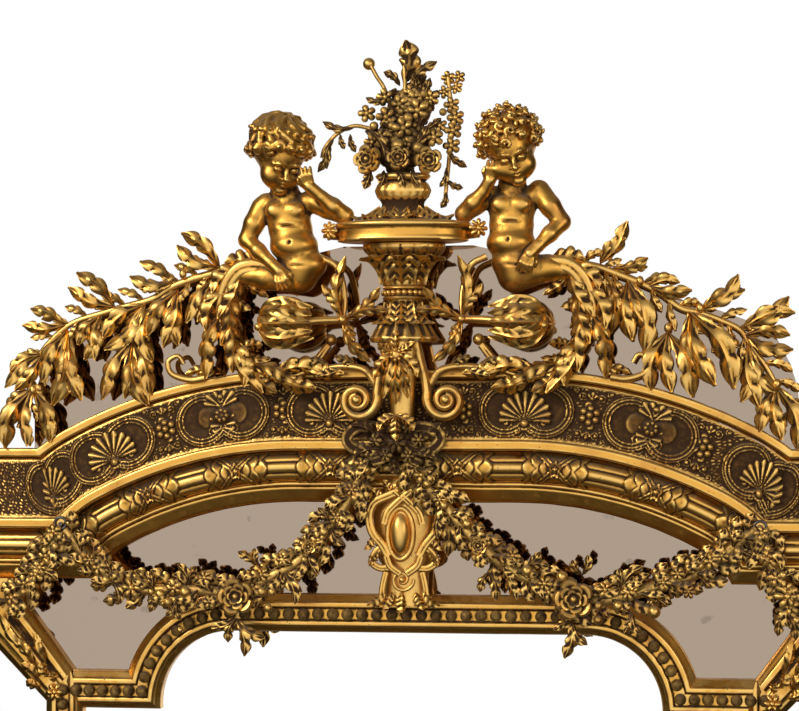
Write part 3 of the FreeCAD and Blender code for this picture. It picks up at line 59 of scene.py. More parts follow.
FRONT = np.array([0.0, -1.0, 0.0])
Array = np.ndarray
Point = Sequence[float]


class Finish(Enum):
    """The finishes of the object, by the record's material slots."""

    BRIGHT = "burnished_gilt"
    CARVED = "antique_gilt"
    DARK = "dark_gilt"
    PLATE = "main_mirror"
    AGED = "aged_mirror"
    PINE = "pine"
    IRON = "iron"
    BRASS = "brass_fittings"


# ---------------------------------------------------------------- numbers and vectors
def unit(vectors: Array) -> Array:
    """Vectors of length one."""
    return vectors / np.maximum(np.linalg.norm(vectors, axis=-1, keepdims=True), 1e-9)


def ramp(value: Array, low: float, high: float) -> Array:
    """A smooth step from nothing at low to one at high."""
    share = np.clip((value - low) / (high - low), 0, 1)
    return share * share * (3 - 2 * share)


def along_line(points: Array, count: int) -> Array:
    """Evenly spaced places on a line through points, its first and last point included."""
    points = np.asarray(points, float)
    length = np.r_[0, np.cumsum(np.linalg.norm(np.diff(points, axis=0), axis=1))]
    wanted = np.linspace(0, length[-1], count)
    return np.stack([np.interp(wanted, length, column) for column in points.T], 1)


def spline(points: Sequence[Point], count: int) -> Array:
    """Evenly spaced places on a smooth curve through a few points.

    Args:
        points: places in any number of dimensions that the curve passes through.
        count: how many places to return.

    Returns:
        An array of places, one row each.
    """
    known = np.asarray(points, float)
    if len(known) == 2:
        return along_line(known, count)
    padded = np.vstack([2 * known[0] - known[1], known, 2 * known[-1] - known[-2]])
    travel = np.linspace(0, len(known) - 1, 14 * len(known))
    index = np.minimum(travel.astype(int), len(known) - 2)
    part = (travel - index)[:, None]
    a, b, c, d = (padded[index + step] for step in range(4))
    fine = 0.5 * (2 * b + (c - a) * part + (2 * a - 5 * b + 4 * c - d) * part ** 2
                  + (3 * b - a - 3 * c + d) * part ** 3)
    return along_line(fine, count)


def frames(path: Array, facing: Array) -> tuple[Array, Array, Array]:
    """Directions along, across and outward at each place of a path; outward leans to facing."""
    along = unit(np.gradient(path, axis=0))
    across = unit(np.cross(along, facing))
    return along, across, np.cross(across, along)


@dataclass(frozen=True)
class View:
    """The viewpoint fitted to the picture, in millimetres and degrees."""

    aim: tuple[float, float, float] = (-5.2, -97.0, 1822.0)
    distance: float = 3500.0
    yaw: float = 8.0
    pitch: float = 1.7
    lens: float = 105.0
    width: int = 799
    height: int = 711

    def axes(self) -> tuple[Array, Array, Array, Array]:
        """The eye and the directions forward, right and up."""
        yaw, pitch = math.radians(self.yaw), math.radians(self.pitch)
        forward = np.array([-math.sin(yaw) * math.cos(pitch), math.cos(yaw) * math.cos(pitch),
                            math.sin(pitch)])
        right = np.array([math.cos(yaw), math.sin(yaw), 0.0])
        return np.array(self.aim) - forward * self.distance, forward, right, np.cross(right, forward)

    def place(self, across: float, down: float, depth: float) -> Array:
        """The place seen at a pixel, at a depth in front of the wall."""
        eye, forward, right, upward = self.axes()
        focal = self.lens / 36 * self.width
        ray = forward + right * (across - self.width / 2) / focal - upward * (down - self.height / 2) / focal
        return eye + ray * (-depth - eye[1]) / ray[1]

    def places(self, pixels: Sequence[Point], depth: float) -> Array:
        """Places seen at pixels; a third number in a pixel is its own depth."""
        return np.array([self.place(spot[0], spot[1], spot[2] if len(spot) > 2 else depth) for spot in pixels])


VIEW = View()


# ---------------------------------------------------------------- surfaces
@dataclass
class Shell:
    """A closed surface: places in millimetres, and faces of four corners, or three and -1."""

    points: Array
    faces: Array

    def outward(self) -> "Shell":
        """The same surface with every face turned outwards, judged by its signed volume."""
        first = self.faces[:, :3]
        second = self.faces[self.faces[:, 3] >= 0][:, [0, 2, 3]]
        corners = self.points[np.vstack([first, second])]
        volume = np.einsum("ij,ij->", corners[:, 0], np.cross(corners[:, 1], corners[:, 2]))
        return Shell(self.points, self.faces if volume > 0 else self.faces[:, [2, 1, 0, 3]])

    def mirrored(self) -> "Shell":
        """The same surface on the other side of the middle."""
        return Shell(self.points * (-1, 1, 1), self.faces[:, [2, 1, 0, 3]])


def tube(loops: Array, ring: bool = False) -> Shell:
    """A closed surface through loops of places.

    Args:
        loops: array of (loops, places on each, 3).
        ring: the last loop joins the first; otherwise both ends are closed by a fan of triangles.

    Returns:
        The surface, turned outwards.
    """
    count, size = loops.shape[:2]
    index = np.arange(count * size).reshape(count, size)
    rows = np.vstack([index, index[:1]]) if ring else index
    quads = np.stack([rows[:-1], np.roll(rows[:-1], -1, 1), np.roll(rows[1:], -1, 1), rows[1:]], -1)
    points, faces = loops.reshape(-1, 3), [quads.reshape(-1, 4)]
    if not ring:
        points = np.vstack([points, loops[0].mean(0), loops[-1].mean(0)])
        for row, centre in ((index[0][::-1], count * size), (index[-1], count * size + 1)):
            faces.append(np.stack([row, np.roll(row, -1), np.full(size, centre), np.full(size, -1)], 1))
    return Shell(points, np.vstack(faces)).outward()


def symmetric(shells: Sequence[Shell]) -> list[Shell]:
    """Shells and their mirror images."""
    return [*shells, *(shell.mirrored() for shell in shells)]


CIRCLE = np.linspace(0, 2 * math.pi, 12, endpoint=False)


def sweep(path: Array, radii: Array, facing: Array = FRONT, flat: float = 1.0, sides: int = 10,
          groove: float = 0.0) -> Shell:
    """A stem or band along a path.

    Args:
        path: places along its middle.
        radii: half its width at each place, or one number.
        facing: the direction its outer side leans to.
        flat: its half thickness over its half width.
        sides: places round it.
        groove: depth of a groove along its outer side, as a share of its half width.

    Returns:
        The surface.
    """
    along, across, out = frames(path, facing)
    radii = np.broadcast_to(np.asarray(radii, float), len(path))[:, None, None]
    turn = np.linspace(0, 2 * math.pi, sides, endpoint=False)[None, :, None]
    lift = np.sin(turn) * flat - groove * np.exp(-((turn - math.pi / 2) / 0.45) ** 2)
    return tube(path[:, None] + radii * (np.cos(turn) * across[:, None] + lift * out[:, None]))


@dataclass(frozen=True)
class Cut:
    """How a leaf is carved: lobes on each side, notches, cupping, rib, veins, and where it is widest."""

    lobes: float = 3.0
    notch: float = 0.42
    cup: float = 0.30
    rib: float = 0.24
    vein: float = 0.07
    thick: float = 0.22
    widest: float = 1.35
    forward: float = 0.35
    curl: float = 0.25


LAUREL = Cut()
ACANTHUS = Cut(lobes=4.0, notch=0.40, cup=0.45, rib=0.30, vein=0.10, widest=1.15, forward=0.45, curl=0.5)
PETAL = Cut(lobes=1.0, notch=0.0, cup=-0.45, rib=0.0, vein=0.03, widest=1.6, forward=0.1, curl=0.1)


def blade(path: Sequence[Point], width: float, cut: Cut = LAUREL, facing: Array = FRONT,
          rows: int = 24, columns: int = 9) -> Shell:
    """A carved leaf along a path.

    Its half width swells and closes like a sine, notched into lobes that point forwards. Its face is
    cupped across, with a rib in the middle and a vein to each lobe, and its tip curls off the ground.

    Args:
        path: a few places from its foot to its tip.
        width: its width at the widest place.
        cut: how it is carved.
        facing: the direction that its face looks in.
        rows: places along it.
        columns: places across its face.

    Returns:
        The surface.
    """
    line = spline(path, rows)
    along, across, out = frames(line, facing)
    u = np.linspace(0.0, 1.0, rows)[:, None]
    v = np.linspace(-1, 1, columns)[None]
    side, half = np.abs(v), width / 2
    swell = np.sin(math.pi * np.clip(u, 0.004, 0.985) ** cut.widest) ** 0.55
    lobe = np.abs(np.sin(math.pi * (cut.lobes * u + 0.1))) ** 0.7
    spread = half * swell * (1 - cut.notch * (1 - lobe) * ramp(u, 0.1, 0.35))
    lift = half * (-cut.cup * side ** 2 * swell + cut.rib * np.exp(-(v / 0.17) ** 2) * (1 - 0.5 * u)
                   + cut.vein * np.cos(2 * math.pi * (cut.lobes * u - 0.75 * side)) * ramp(side, 0.08, 0.4) * swell
                   + cut.curl * ramp(u, 0.72, 1.05))
    ahead = cut.forward * side ** 1.5 * spread * ramp(u, 0.1, 0.5) * (1 - u)
    depth = half * cut.thick * (1.1 - side ** 2) * (0.5 + 0.5 * swell) + 0.3

    def layer(height: Array) -> Array:
        """Places of one face of the leaf at a height above its line."""
        return (line[:, None] + across[:, None] * (spread * v)[..., None] + along[:, None] * ahead[..., None]
                + out[:, None] * height[..., None])

    return tube(np.concatenate([layer(lift), layer(lift - depth)[:, ::-1]], axis=1))


Relief = Callable[[Array, Array], Array]


def disc(centre: Array, radius: float, relief: Relief, facing: Array = FRONT, edge: Relief | None = None,
         rings: int = 12, spokes: int = 32, depth: float = 3.0, stretch: float = 1.0) -> Shell:
    """A round ornament with carving on its face.

    Args:
        centre: middle of its back.
        radius: its radius.
        relief: height of the carving, as a share of the radius, by share of the radius and angle.
        facing: the direction that its face looks in.
        edge: share of the radius that its edge reaches, by share and angle.
        rings: places from edge to middle.
        spokes: places round it.
        depth: how far its rim stands off the back.
        stretch: its height over its width.

    Returns:
        The surface.
    """
    facing = unit(np.asarray(facing, float))
    right = unit(np.cross(facing, (0.05, 0.0, 1.0)))
    upward = np.cross(right, facing)
    share = np.linspace(1, 0.03, rings)[:, None]
    turn = np.linspace(0, 2 * math.pi, spokes, endpoint=False)[None]
    reach = radius * (edge(share, turn) if edge else np.ones_like(share * turn))
    flat = (right * np.cos(turn)[..., None] + upward * (stretch * np.sin(turn))[..., None])
    face = (share * reach)[..., None] * flat + facing * (depth + radius * relief(share, turn))[..., None]
    back = 0.86 * reach[:1, :, None] * flat[:1]
    return tube(centre + np.concatenate([back, face]))


def ball(centre: Point, radii: float | Point, rings: int = 8, spokes: int = 12) -> Shell:
    """A ball or a berry, upright or drawn out along the axes."""
    polar = np.linspace(0.06, math.pi - 0.06, rings)[:, None]
    turn = np.linspace(0, 2 * math.pi, spokes, endpoint=False)[None]
    loops = np.stack([np.sin(polar) * np.cos(turn), np.sin(polar) * np.sin(turn), np.cos(polar) + 0 * turn], -1)
    return tube(np.asarray(centre) + loops * radii)


def turned(centre: Point, profile: Sequence[Point], oval: Point = (1.0, 1.0), relief: Relief | None = None,
           rows: int = 48, spokes: int = 64) -> Shell:
    """A turned or lobed body about an upright axis.

    Args:
        centre: a place on its axis.
        profile: (radius, height above the centre) from foot to top.
        oval: stretch across and in depth.
        relief: height of the carving, in millimetres, by share of the profile and angle.
        rows: places from foot to top.
        spokes: places round it.

    Returns:
        The surface.
    """
    line = along_line(profile, rows)
    turn = np.linspace(0, 2 * math.pi, spokes, endpoint=False)[None]
    radius = line[:, :1] + (relief(np.linspace(0, 1, rows)[:, None], turn) if relief else 0 * turn)
    loops = np.stack([radius * oval[0] * np.cos(turn), radius * oval[1] * np.sin(turn),
                      line[:, 1:] + 0 * turn], -1)
    return tube(np.asarray(centre, float) + loops)


# ---------------------------------------------------------------- carving on flat ground
class Carving:
    """Heights of carving over two flat coordinates, both in millimetres."""

    def __init__(self, across: Array, up: Array) -> None:
        """Starts with bare ground over grids of the two coordinates."""
        self.across, self.up = across, up
        self.height = np.zeros_like(across)

    def local(self, centre: Point, turn: float = 0.0, scale: float = 1.0) -> tuple[Array, Array, Array, Array]:
        """Coordinates about a motif's centre: across, up, distance, and angle from upright."""
        x, z = (self.across - centre[0]) / scale, (self.up - centre[1]) / scale
        x, z = x * math.cos(turn) + z * math.sin(turn), z * math.cos(turn) - x * math.sin(turn)
        return x, z, np.hypot(x, z), np.arctan2(x, z)

    def raise_to(self, height: Array) -> None:
        """Keeps whichever stands higher: the carving so far or the new height."""
        self.height = np.maximum(self.height, height)

    def dome(self, centre: Point, radius: float, height: float, stretch: float = 1.0) -> None:
        """A berry: a round bump like the top of a ball."""
        x, z, _, _ = self.local(centre)
        self.raise_to(height * np.sqrt(np.clip(1 - (x / radius) ** 2 - (z / radius / stretch) ** 2, 0, 1)))

    def curl(self, centre: Point, radius: float, height: float, hand: int = 1, turn: float = 0.0) -> None:
        """A scroll end: a ridge that winds once and a half into a bead."""
        _, _, away, angle = self.local(centre, turn)
        winding = away / radius * 1.6 - hand * angle / (2 * math.pi)
        ridge = 0.55 + 0.45 * np.cos(2 * math.pi * winding)
        self.raise_to(height * ridge * ramp(radius - away, 0, 1.5) * (0.7 + 0.3 * ramp(-away, -radius, 0)))
        self.dome(centre, radius * 0.3, height * 1.15)

    def fan(self, centre: Point, radius: float, height: float, ribs: int, spread: float, turn: float = 0.0) -> None:
        """A scallop or a leaf fan: ribs that part from one foot and end in lobes."""
        _, _, away, angle = self.local(centre, turn)
        beat = np.abs(np.cos(angle * ribs / spread * math.pi / 2))
        reach = radius * (0.80 + 0.20 * beat ** 0.5) * (1 - 0.18 * np.abs(angle / spread))
        inside = ramp(reach - away, 0, 1.6) * ramp(spread - np.abs(angle), 0, 0.12)
        self.raise_to(inside * height * (0.35 + 0.65 * (away / radius) ** 0.6) * (0.45 + 0.55 * beat))

    def cartouche(self, centre: Point, size: float) -> None:
        """Two C-scrolls side by side: a ridged band round two circles, and a dished ground inside."""
        x, z, _, _ = self.local(centre, 0.0, size)
        edge = np.minimum(np.hypot(x - 23, z), np.hypot(x + 23, z)) - 33
        band = ramp(-edge, 0, 1.2) * ramp(edge, -10.5, -9.3)
        self.height = np.where(edge < 0, self.height * ramp(edge, -1, 0), self.height)
        self.raise_to(ramp(-edge, 8, 11) * (0.4 + 1.2 * ramp(-edge, 32, 8)))
        self.raise_to(band * (3.0 + 1.2 * np.cos(2 * math.pi * edge / 4.4) + 1.4 * ramp(edge, -4, 0)))
        for hand in (-1, 1):
            self.curl((centre[0] + hand * 9 * size, centre[1] - 25 * size), 8.5 * size, 4.6, hand)

    def shell(self, centre: Point, size: float) -> None:
        """A cartouche with a scallop over two leaf curls and a bead."""
        self.cartouche(centre, size)
        self.fan((centre[0], centre[1] - 13 * size), 37 * size, 8.0, 11, 1.75)
        for hand in (-1, 1):
            self.curl((centre[0] + hand * 21 * size, centre[1] - 15 * size), 8 * size, 4.4, -hand)
            self.fan((centre[0] + hand * 10 * size, centre[1] - 20 * size), 17 * size, 5, 3, 0.8, hand * 1.3)
        self.dome((centre[0], centre[1] - 17 * size), 5.5 * size, 8.5)

    def fruit(self, centre: Point, size: float) -> None:
        """A cartouche with a fruit between two rounded leaves, under a crown of small leaves."""
        self.cartouche(centre, size)
        for hand in (-1, 1):
            self.dome((centre[0] + hand * 17 * size, centre[1] + 2 * size), 13 * size, 5.0, 1.1)
            self.fan((centre[0] + hand * 8 * size, centre[1] - 12 * size), 26 * size, 5.4, 5, 1.0, hand * 1.1)
            self.curl((centre[0] + hand * 12 * size, centre[1] - 16 * size), 7 * size, 4.8, hand)
            self.fan((centre[0], centre[1] + 12 * size), 24 * size, 6.6, 3, 0.7, hand * 0.75)
        self.dome((centre[0], centre[1]), 12 * size, 8.4, 0.9)
        for step in range(7):
            angle = step * 0.9
            self.dome((centre[0] + 6 * size * math.sin(angle), centre[1] + 6 * size * math.cos(angle)),
                      3.2 * size, 10.4)
        self.dome((centre[0], centre[1] + 24 * size), 4 * size, 7.4)

    def berries(self, centre: Point, size: float) -> None:
        """A rosette of six berries round one, with leaf points between and small curls above and below."""
        for step in range(6):
            angle = step * math.pi / 3
            way = (math.sin(angle), math.cos(angle))
            self.fan((centre[0] + 9 * size * way[0], centre[1] + 9 * size * way[1]), 13 * size, 3.6, 1, 0.7,
                     angle + 0.5)
            self.dome((centre[0] + 10 * size * way[0], centre[1] + 10 * size * way[1]), 5 * size, 6.2)
        self.dome(centre, 5.2 * size, 8.2)
        for hand in (-1, 1):
            self.curl((centre[0] + hand * 12 * size, centre[1] + 27 * size), 6.5 * size, 4.2, hand)
            self.curl((centre[0] + hand * 12 * size, centre[1] - 27 * size), 6.5 * size, 4.2, -hand)
            self.fan((centre[0], centre[1] + hand * 22 * size), 13 * size, 5.5, 3, 1.0,
                     0.0 if hand > 0 else math.pi)
            self.curl((centre[0] + hand * 23 * size, centre[1] + 35 * size), 5 * size, 3.4, -hand)
            self.curl((centre[0] + hand * 23 * size, centre[1] - 35 * size), 5 * size, 3.4, hand)


def ripple(across: Array, up: Array, pitch: float, seed: int) -> Array:
    """Soft unevenness of hand-cut wood: crossing waves of about one pitch, from -1 to 1."""
    random = np.random.default_rng(seed)
    total = np.zeros(np.broadcast(across, up).shape)
    for _ in range(9):
        turn, phase, scale = random.uniform(0, 6.3), random.uniform(0, 6.3), random.uniform(0.7, 1.6)
        total += np.sin((across * math.cos(turn) + up * math.sin(turn)) * 6.28 / pitch * scale + phase)
    return total / 9 * 1.8


# ---------------------------------------------------------------- the arch
@dataclass(frozen=True)
class ArchLine:
    """The three-centred arch of the glass and the level shoulders it lands on."""

    flat: float = 166.0
    crown: float = 1600.0
    radius: float = 578.0
    end_radius: float = 120.0
    angle: float = math.radians(27.8)
    shoulder: float = 1480.0
    reach: float = 655.0
    middle: float = 100.0

    @property
    def end_centre(self) -> tuple[float, float]:
        """Centre of the end arc on the right."""
        span = self.radius - self.end_radius
        return (self.flat + span * math.sin(self.angle),
                self.crown - self.radius + span * math.cos(self.angle))

    def mitre(self, offset: Array) -> Array:
        """Angle from upright at which the end arc of a moulding line meets its shoulder."""
        return np.arccos((self.shoulder + offset - self.end_centre[1]) / (self.end_radius + offset))

    @property
    def lengths(self) -> tuple[float, float]:
        """Travel from the crown to the end of the main arc, and to the mitre."""
        first = self.flat + self.angle * (self.radius + self.middle)
        return first, first + (float(self.mitre(self.middle)) - self.angle) * (self.end_radius + self.middle)

    def arc(self, travel: Array, offset: Array) -> tuple[Array, Array]:
        """Places across and up, by travel from the crown (negative on the left) and by offset."""
        travel, offset = np.broadcast_arrays(np.asarray(travel, float), offset)
        away, (first, last) = np.abs(travel), self.lengths
        main = np.clip(away - self.flat, 0, first - self.flat) / (self.radius + self.middle)
        share = np.clip((away - first) / (last - first), 0, 1)
        turn = main + share * (self.mitre(offset) - self.angle)
        on_end = away > first
        centre_x = np.where(on_end, self.end_centre[0], np.minimum(away, self.flat))
        centre_z = np.where(on_end, self.end_centre[1], self.crown - self.radius)
        reach = np.where(on_end, self.end_radius, self.radius) + offset
        return np.sign(travel) * (centre_x + reach * np.sin(turn)), centre_z + reach * np.cos(turn)

    def level(self, travel: Array, offset: Array) -> tuple[Array, Array]:
        """Places on the right shoulder, by travel beyond the mitre (nought) to the ear's edge (one)."""
        angle = self.mitre(offset)
        start = self.end_centre[0] + (self.end_radius + offset) * np.sin(angle)
        return start + travel * (self.reach - start), self.shoulder + offset + 0 * travel

    def locate(self, place: Array) -> float:
        """Travel of the place of the arch that is nearest to a place."""
        travel = np.linspace(-self.lengths[1], self.lengths[1], 2001)
        x, z = self.arc(travel, np.array(self.middle + 40))
        return float(travel[np.argmin((x - place[0]) ** 2 + (z - place[2]) ** 2)])


ARCH = ArchLine()
Course = Callable[[Array, Array], tuple[Array, Array]]


def moulding(course: Course, travel: Array, profile: Array, back: float,
             carving: Callable[[Array, Array], Array] | None = None) -> Shell:
    """A moulding: a profile carried along a course, with carving on its front.

    Args:
        course: gives places across and up from travel and offset.
        travel: travel along the course at each row.
        profile: (offset, depth from the wall) points of its front.
        back: depth of its flat back.
        carving: height of the carving off the profile, by travel and offset.

    Returns:
        The surface.
    """
    slope = unit(np.gradient(profile, axis=0))
    normal = np.stack([-slope[:, 1], slope[:, 0]], 1)
    normal *= np.where(normal[:, 1:] < -0.2, -1, 1)
    travel = travel[:, None]
    height = carving(travel, profile[None, :, 0]) if carving else np.zeros((len(travel), len(profile)))
    offset = profile[None, :, 0] + normal[None, :, 0] * height
    depth = profile[None, :, 1] + normal[None, :, 1] * height
    offset = np.concatenate([offset, np.broadcast_to(profile[[-1, 0], 0], (len(travel), 2))], 1)
    depth = np.concatenate([depth, np.full((len(travel), 2), back)], 1)
    x, z = course(travel, offset)
    return tube(np.stack([x, -depth, z], -1))


def rounded(points: Sequence[Point], spacing: float = 1.6, soften: int = 1) -> Array:
    """A profile through points, sampled evenly, with its corners eased."""
    points = np.asarray(points, float)
    length = np.linalg.norm(np.diff(points, axis=0), axis=1).sum()
    line = along_line(points, max(6, int(length / spacing)))
    for _ in range(soften):
        line[1:-1] = (line[:-2] + 2 * line[1:-1] + line[2:]) / 4
    return line


# ---------------------------------------------------------------- soft bodies
def basis(forward: Point, upward: Point) -> Array:
    """Rows to the viewer's right, forward and up, for something that looks forward."""
    ahead = unit(np.asarray(forward, float))
    right = unit(np.cross(upward, ahead))
    return np.stack([right, ahead, np.cross(ahead, right)])


class Clay:
    """A body of smoothly joined lumps, held as distances on a grid of cells."""

    def __init__(self, low: Point, high: Point, cell: float) -> None:
        """Starts empty between two corners."""
        self.low, self.cell = np.asarray(low, float), cell
        size = np.ceil((np.asarray(high) - self.low) / cell).astype(int) + 1
        self.axes = [self.low[axis] + cell * np.arange(size[axis]) for axis in range(3)]
        self.value = np.full(size, 40.0, np.float32)

    def near(self, centre: Array, reach: float) -> tuple[tuple[slice, ...], Array]:
        """The cells within reach of a place, and their offsets from it."""
        cut = []
        for axis in range(3):
            first = int((centre[axis] - reach - self.low[axis]) / self.cell)
            last = int((centre[axis] + reach - self.low[axis]) / self.cell) + 2
            cut.append(slice(max(first, 0), max(last, 1)))
        spots = np.meshgrid(*(self.axes[axis][cut[axis]] - centre[axis] for axis in range(3)), indexing="ij")
        return tuple(cut), np.stack(spots, -1)

    def join(self, where: tuple[slice, ...], distance: Array, blend: float, carve: bool) -> None:
        """Adds a lump, or carves it away, with a smooth seam."""
        known = self.value[where]
        other = -distance if carve else distance
        sign = -1 if carve else 1
        share = np.clip(0.5 + 0.5 * sign * (known - other) / blend, 0, 1)
        self.value[where] = known + (other - known) * share - sign * blend * share * (1 - share)

    def lump(self, centre: Array, radii: Point | float, blend: float = 4.0, axes: Array | None = None,
             carve: bool = False) -> None:
        """An ellipsoid, along the rows of axes where given."""
        radii = np.broadcast_to(np.asarray(radii, float), 3)
        where, spots = self.near(np.asarray(centre, float), float(radii.max()) + 2.5 * blend)
        if axes is not None:
            spots = spots @ axes.T
        first = np.linalg.norm(spots / radii, axis=-1)
        second = np.maximum(np.linalg.norm(spots / radii ** 2, axis=-1), 1e-6)
        self.join(where, first * (first - 1) / second, blend, carve)

    def limb(self, path: Sequence[Point], radii: Sequence[float], blend: float = 5.0) -> None:
        """Tapered round bars through places."""
        path = [np.asarray(place, float) for place in path]
        for start, end, thick, thin in zip(path, path[1:], radii, radii[1:]):
            run = end - start
            centre, reach = (start + end) / 2, np.linalg.norm(run) / 2 + max(thick, thin) + 2.5 * blend
            where, spots = self.near(centre, float(reach))
            spots = spots + centre - start
            share = np.clip(spots @ run / max(run @ run, 1e-6), 0, 1)
            away = np.linalg.norm(spots - share[..., None] * run, axis=-1)
            self.join(where, away - (thick + (thin - thick) * share), blend, False)

    def shell(self, rounds: int = 1) -> Shell:
        """The surface where the distance is nought: one place in each crossed cell, joined across edges."""
        cells = tuple(count - 1 for count in self.value.shape)
        total, hits = np.zeros(cells + (3,), np.float32), np.zeros(cells, np.float32)
        faces = []
        inside = self.value < 0
        for axis in range(3):
            one, two = [other for other in range(3) if other != axis]
            for first in (0, 1):
                for second in (0, 1):
                    start = [slice(0, count) for count in cells]
                    start[one], start[two] = slice(first, first + cells[one]), slice(second, second + cells[two])
                    end = list(start)
                    end[axis] = slice(1, cells[axis] + 1)
                    here, there = self.value[tuple(start)], self.value[tuple(end)]
                    cross = (here < 0) != (there < 0)
                    total[..., axis] += np.where(cross, here / np.where(cross, here - there, 1), 0)
                    total[..., one] += cross * first
                    total[..., two] += cross * second
                    hits += cross
        used = hits > 0
        number = np.full(cells, -1)
        number[used] = np.arange(used.sum())
        points = self.low + self.cell * (np.argwhere(used) + total[used] / hits[used][:, None])
        for axis in range(3):
            one, two = [other for other in range(3) if other != axis]
            start, end = [slice(1, count) for count in cells], [slice(1, count) for count in cells]
            start[axis], end[axis] = slice(0, cells[axis]), slice(1, cells[axis] + 1)
            here, there = inside[tuple(start)], inside[tuple(end)]
            spots = np.argwhere(here != there) + [0 if other == axis else 1 for other in range(3)]
            steps = np.zeros((4, 3), int)
            steps[1, one] = steps[2, one] = steps[2, two] = steps[3, two] = -1
            quads = np.stack([number[tuple((spots + step).T)] for step in steps], 1)
            turn = here[here != there] != (axis == 1)
            faces.append(np.where(turn[:, None], quads, quads[:, [2, 1, 0, 3]]))
        shell = Shell(points, np.vstack(faces)).outward()
        return Shell(relaxed(shell.points, pairs(shell.faces), rounds), shell.faces)


# ---------------------------------------------------------------- measuring finished surfaces
def pairs(faces: Array) -> Array:
    """Each edge of the faces as a pair of places, once for each face on it."""
    quads, tris = faces[faces[:, 3] >= 0], faces[faces[:, 3] < 0][:, :3]
    parts = [quads[:, [step, (step + 1) % 4]] for step in range(4)]
    parts += [tris[:, [step, (step + 1) % 3]] for step in range(3)]
    return np.vstack(parts)


def relaxed(points: Array, edges: Array, rounds: int) -> Array:
    """Places moved to the mean of their neighbours, several times over."""
    ends = np.vstack([edges, edges[:, ::-1]])
    count = np.maximum(np.bincount(ends[:, 0], minlength=len(points)), 1)[:, None]
    for _ in range(rounds):
        points = np.stack([np.bincount(ends[:, 0], column[ends[:, 1]], len(points)) for column in points.T], 1) / count
    return points


def normals(shell: Shell) -> Array:
    """The outward direction at each place."""
    quad = shell.faces[:, 3] >= 0
    corners = shell.points[np.where(quad[:, None], shell.faces, shell.faces[:, [0, 1, 2, 0]])]
    face = np.cross(corners[:, 2] - corners[:, 0], corners[:, 3] - corners[:, 1])
    face[~quad] = np.cross(corners[~quad, 1] - corners[~quad, 0], corners[~quad, 2] - corners[~quad, 0])
    total = np.zeros_like(shell.points)
    for corner in range(4):
        on = quad if corner == 3 else np.ones(len(quad), bool)
        for axis in range(3):
            total[:, axis] += np.bincount(shell.faces[on, corner], face[on, axis], len(total))
    return unit(total)


def hollow(shell: Shell, direction: Array) -> Array:
    """How far each place lies in a hollow (positive) or on an edge (negative), from -1 to 1."""
    edges = pairs(shell.faces)
    total = np.zeros(len(shell.points))
    for rounds, scale in ((2, 0.35), (8, 1.1)):
        total += np.clip(np.einsum("ij,ij->i", relaxed(shell.points, edges, rounds) - shell.points, direction)
                         / scale, -1, 1)
    return np.clip(total / 1.6, -1, 1)


class Crowd:
    """How much carved surface surrounds a place: the object's surface counted in cells and blurred; the gilt paints it
    as occlusion shade.
    """

    def __init__(self, points: Array, cell: float = 5.0, reach: int = 3) -> None:
        """Counts places in cells, then spreads the filled cells twice with a box blur."""
        self.cell, self.low = cell, points.min(0) - 12 * cell
        size = np.ceil((points.max(0) + 12 * cell - self.low) / cell).astype(int)
        index = ((points - self.low) / cell).astype(int)
        count = np.bincount(np.ravel_multi_index(index.T, size), minlength=int(size.prod()))
        field_ = np.minimum(count.reshape(size), 1).astype(np.float32)
        for _ in range(2):
            for axis in range(3):
                pad = [(0, 0)] * 3
                pad[axis] = (reach + 1, reach)
                total = np.cumsum(np.pad(field_, pad), axis=axis)
                span = 2 * reach + 1
                field_ = (np.take(total, range(span, total.shape[axis]), axis)
                          - np.take(total, range(0, total.shape[axis] - span), axis)) / span
        self.field = field_

    def at(self, points: Array, direction: Array, lift: float = 14.0) -> Array:
        """The crowding a little way off a surface, along its outward direction."""
        index = ((points + direction * lift - self.low) / self.cell).astype(int)
        index = np.clip(index, 0, np.array(self.field.shape) - 1)
        return self.field[tuple(index.T)]


# ---------------------------------------------------------------- pieces
@dataclass
class Piece:
    """A named piece of the object: its surfaces, finish and the construction nodes it stands for."""

    name: str
    finish: Finish
    replaces: tuple[str, ...]
    shells: list[Shell] = field(default_factory=list)
    creased: bool = True
    # Added to the crowding, which is painted as occlusion shade: above nought darkens the piece, below nought lightens
    # it.
    shade: float = 0.0

    def merged(self) -> Shell:
        """All its surfaces as one."""
        starts = np.cumsum([0] + [len(shell.points) for shell in self.shells])
        faces = [np.where(shell.faces >= 0, shell.faces + start, -1) for shell, start in zip(self.shells, starts)]
        return Shell(np.vstack([shell.points for shell in self.shells]), np.vstack(faces))


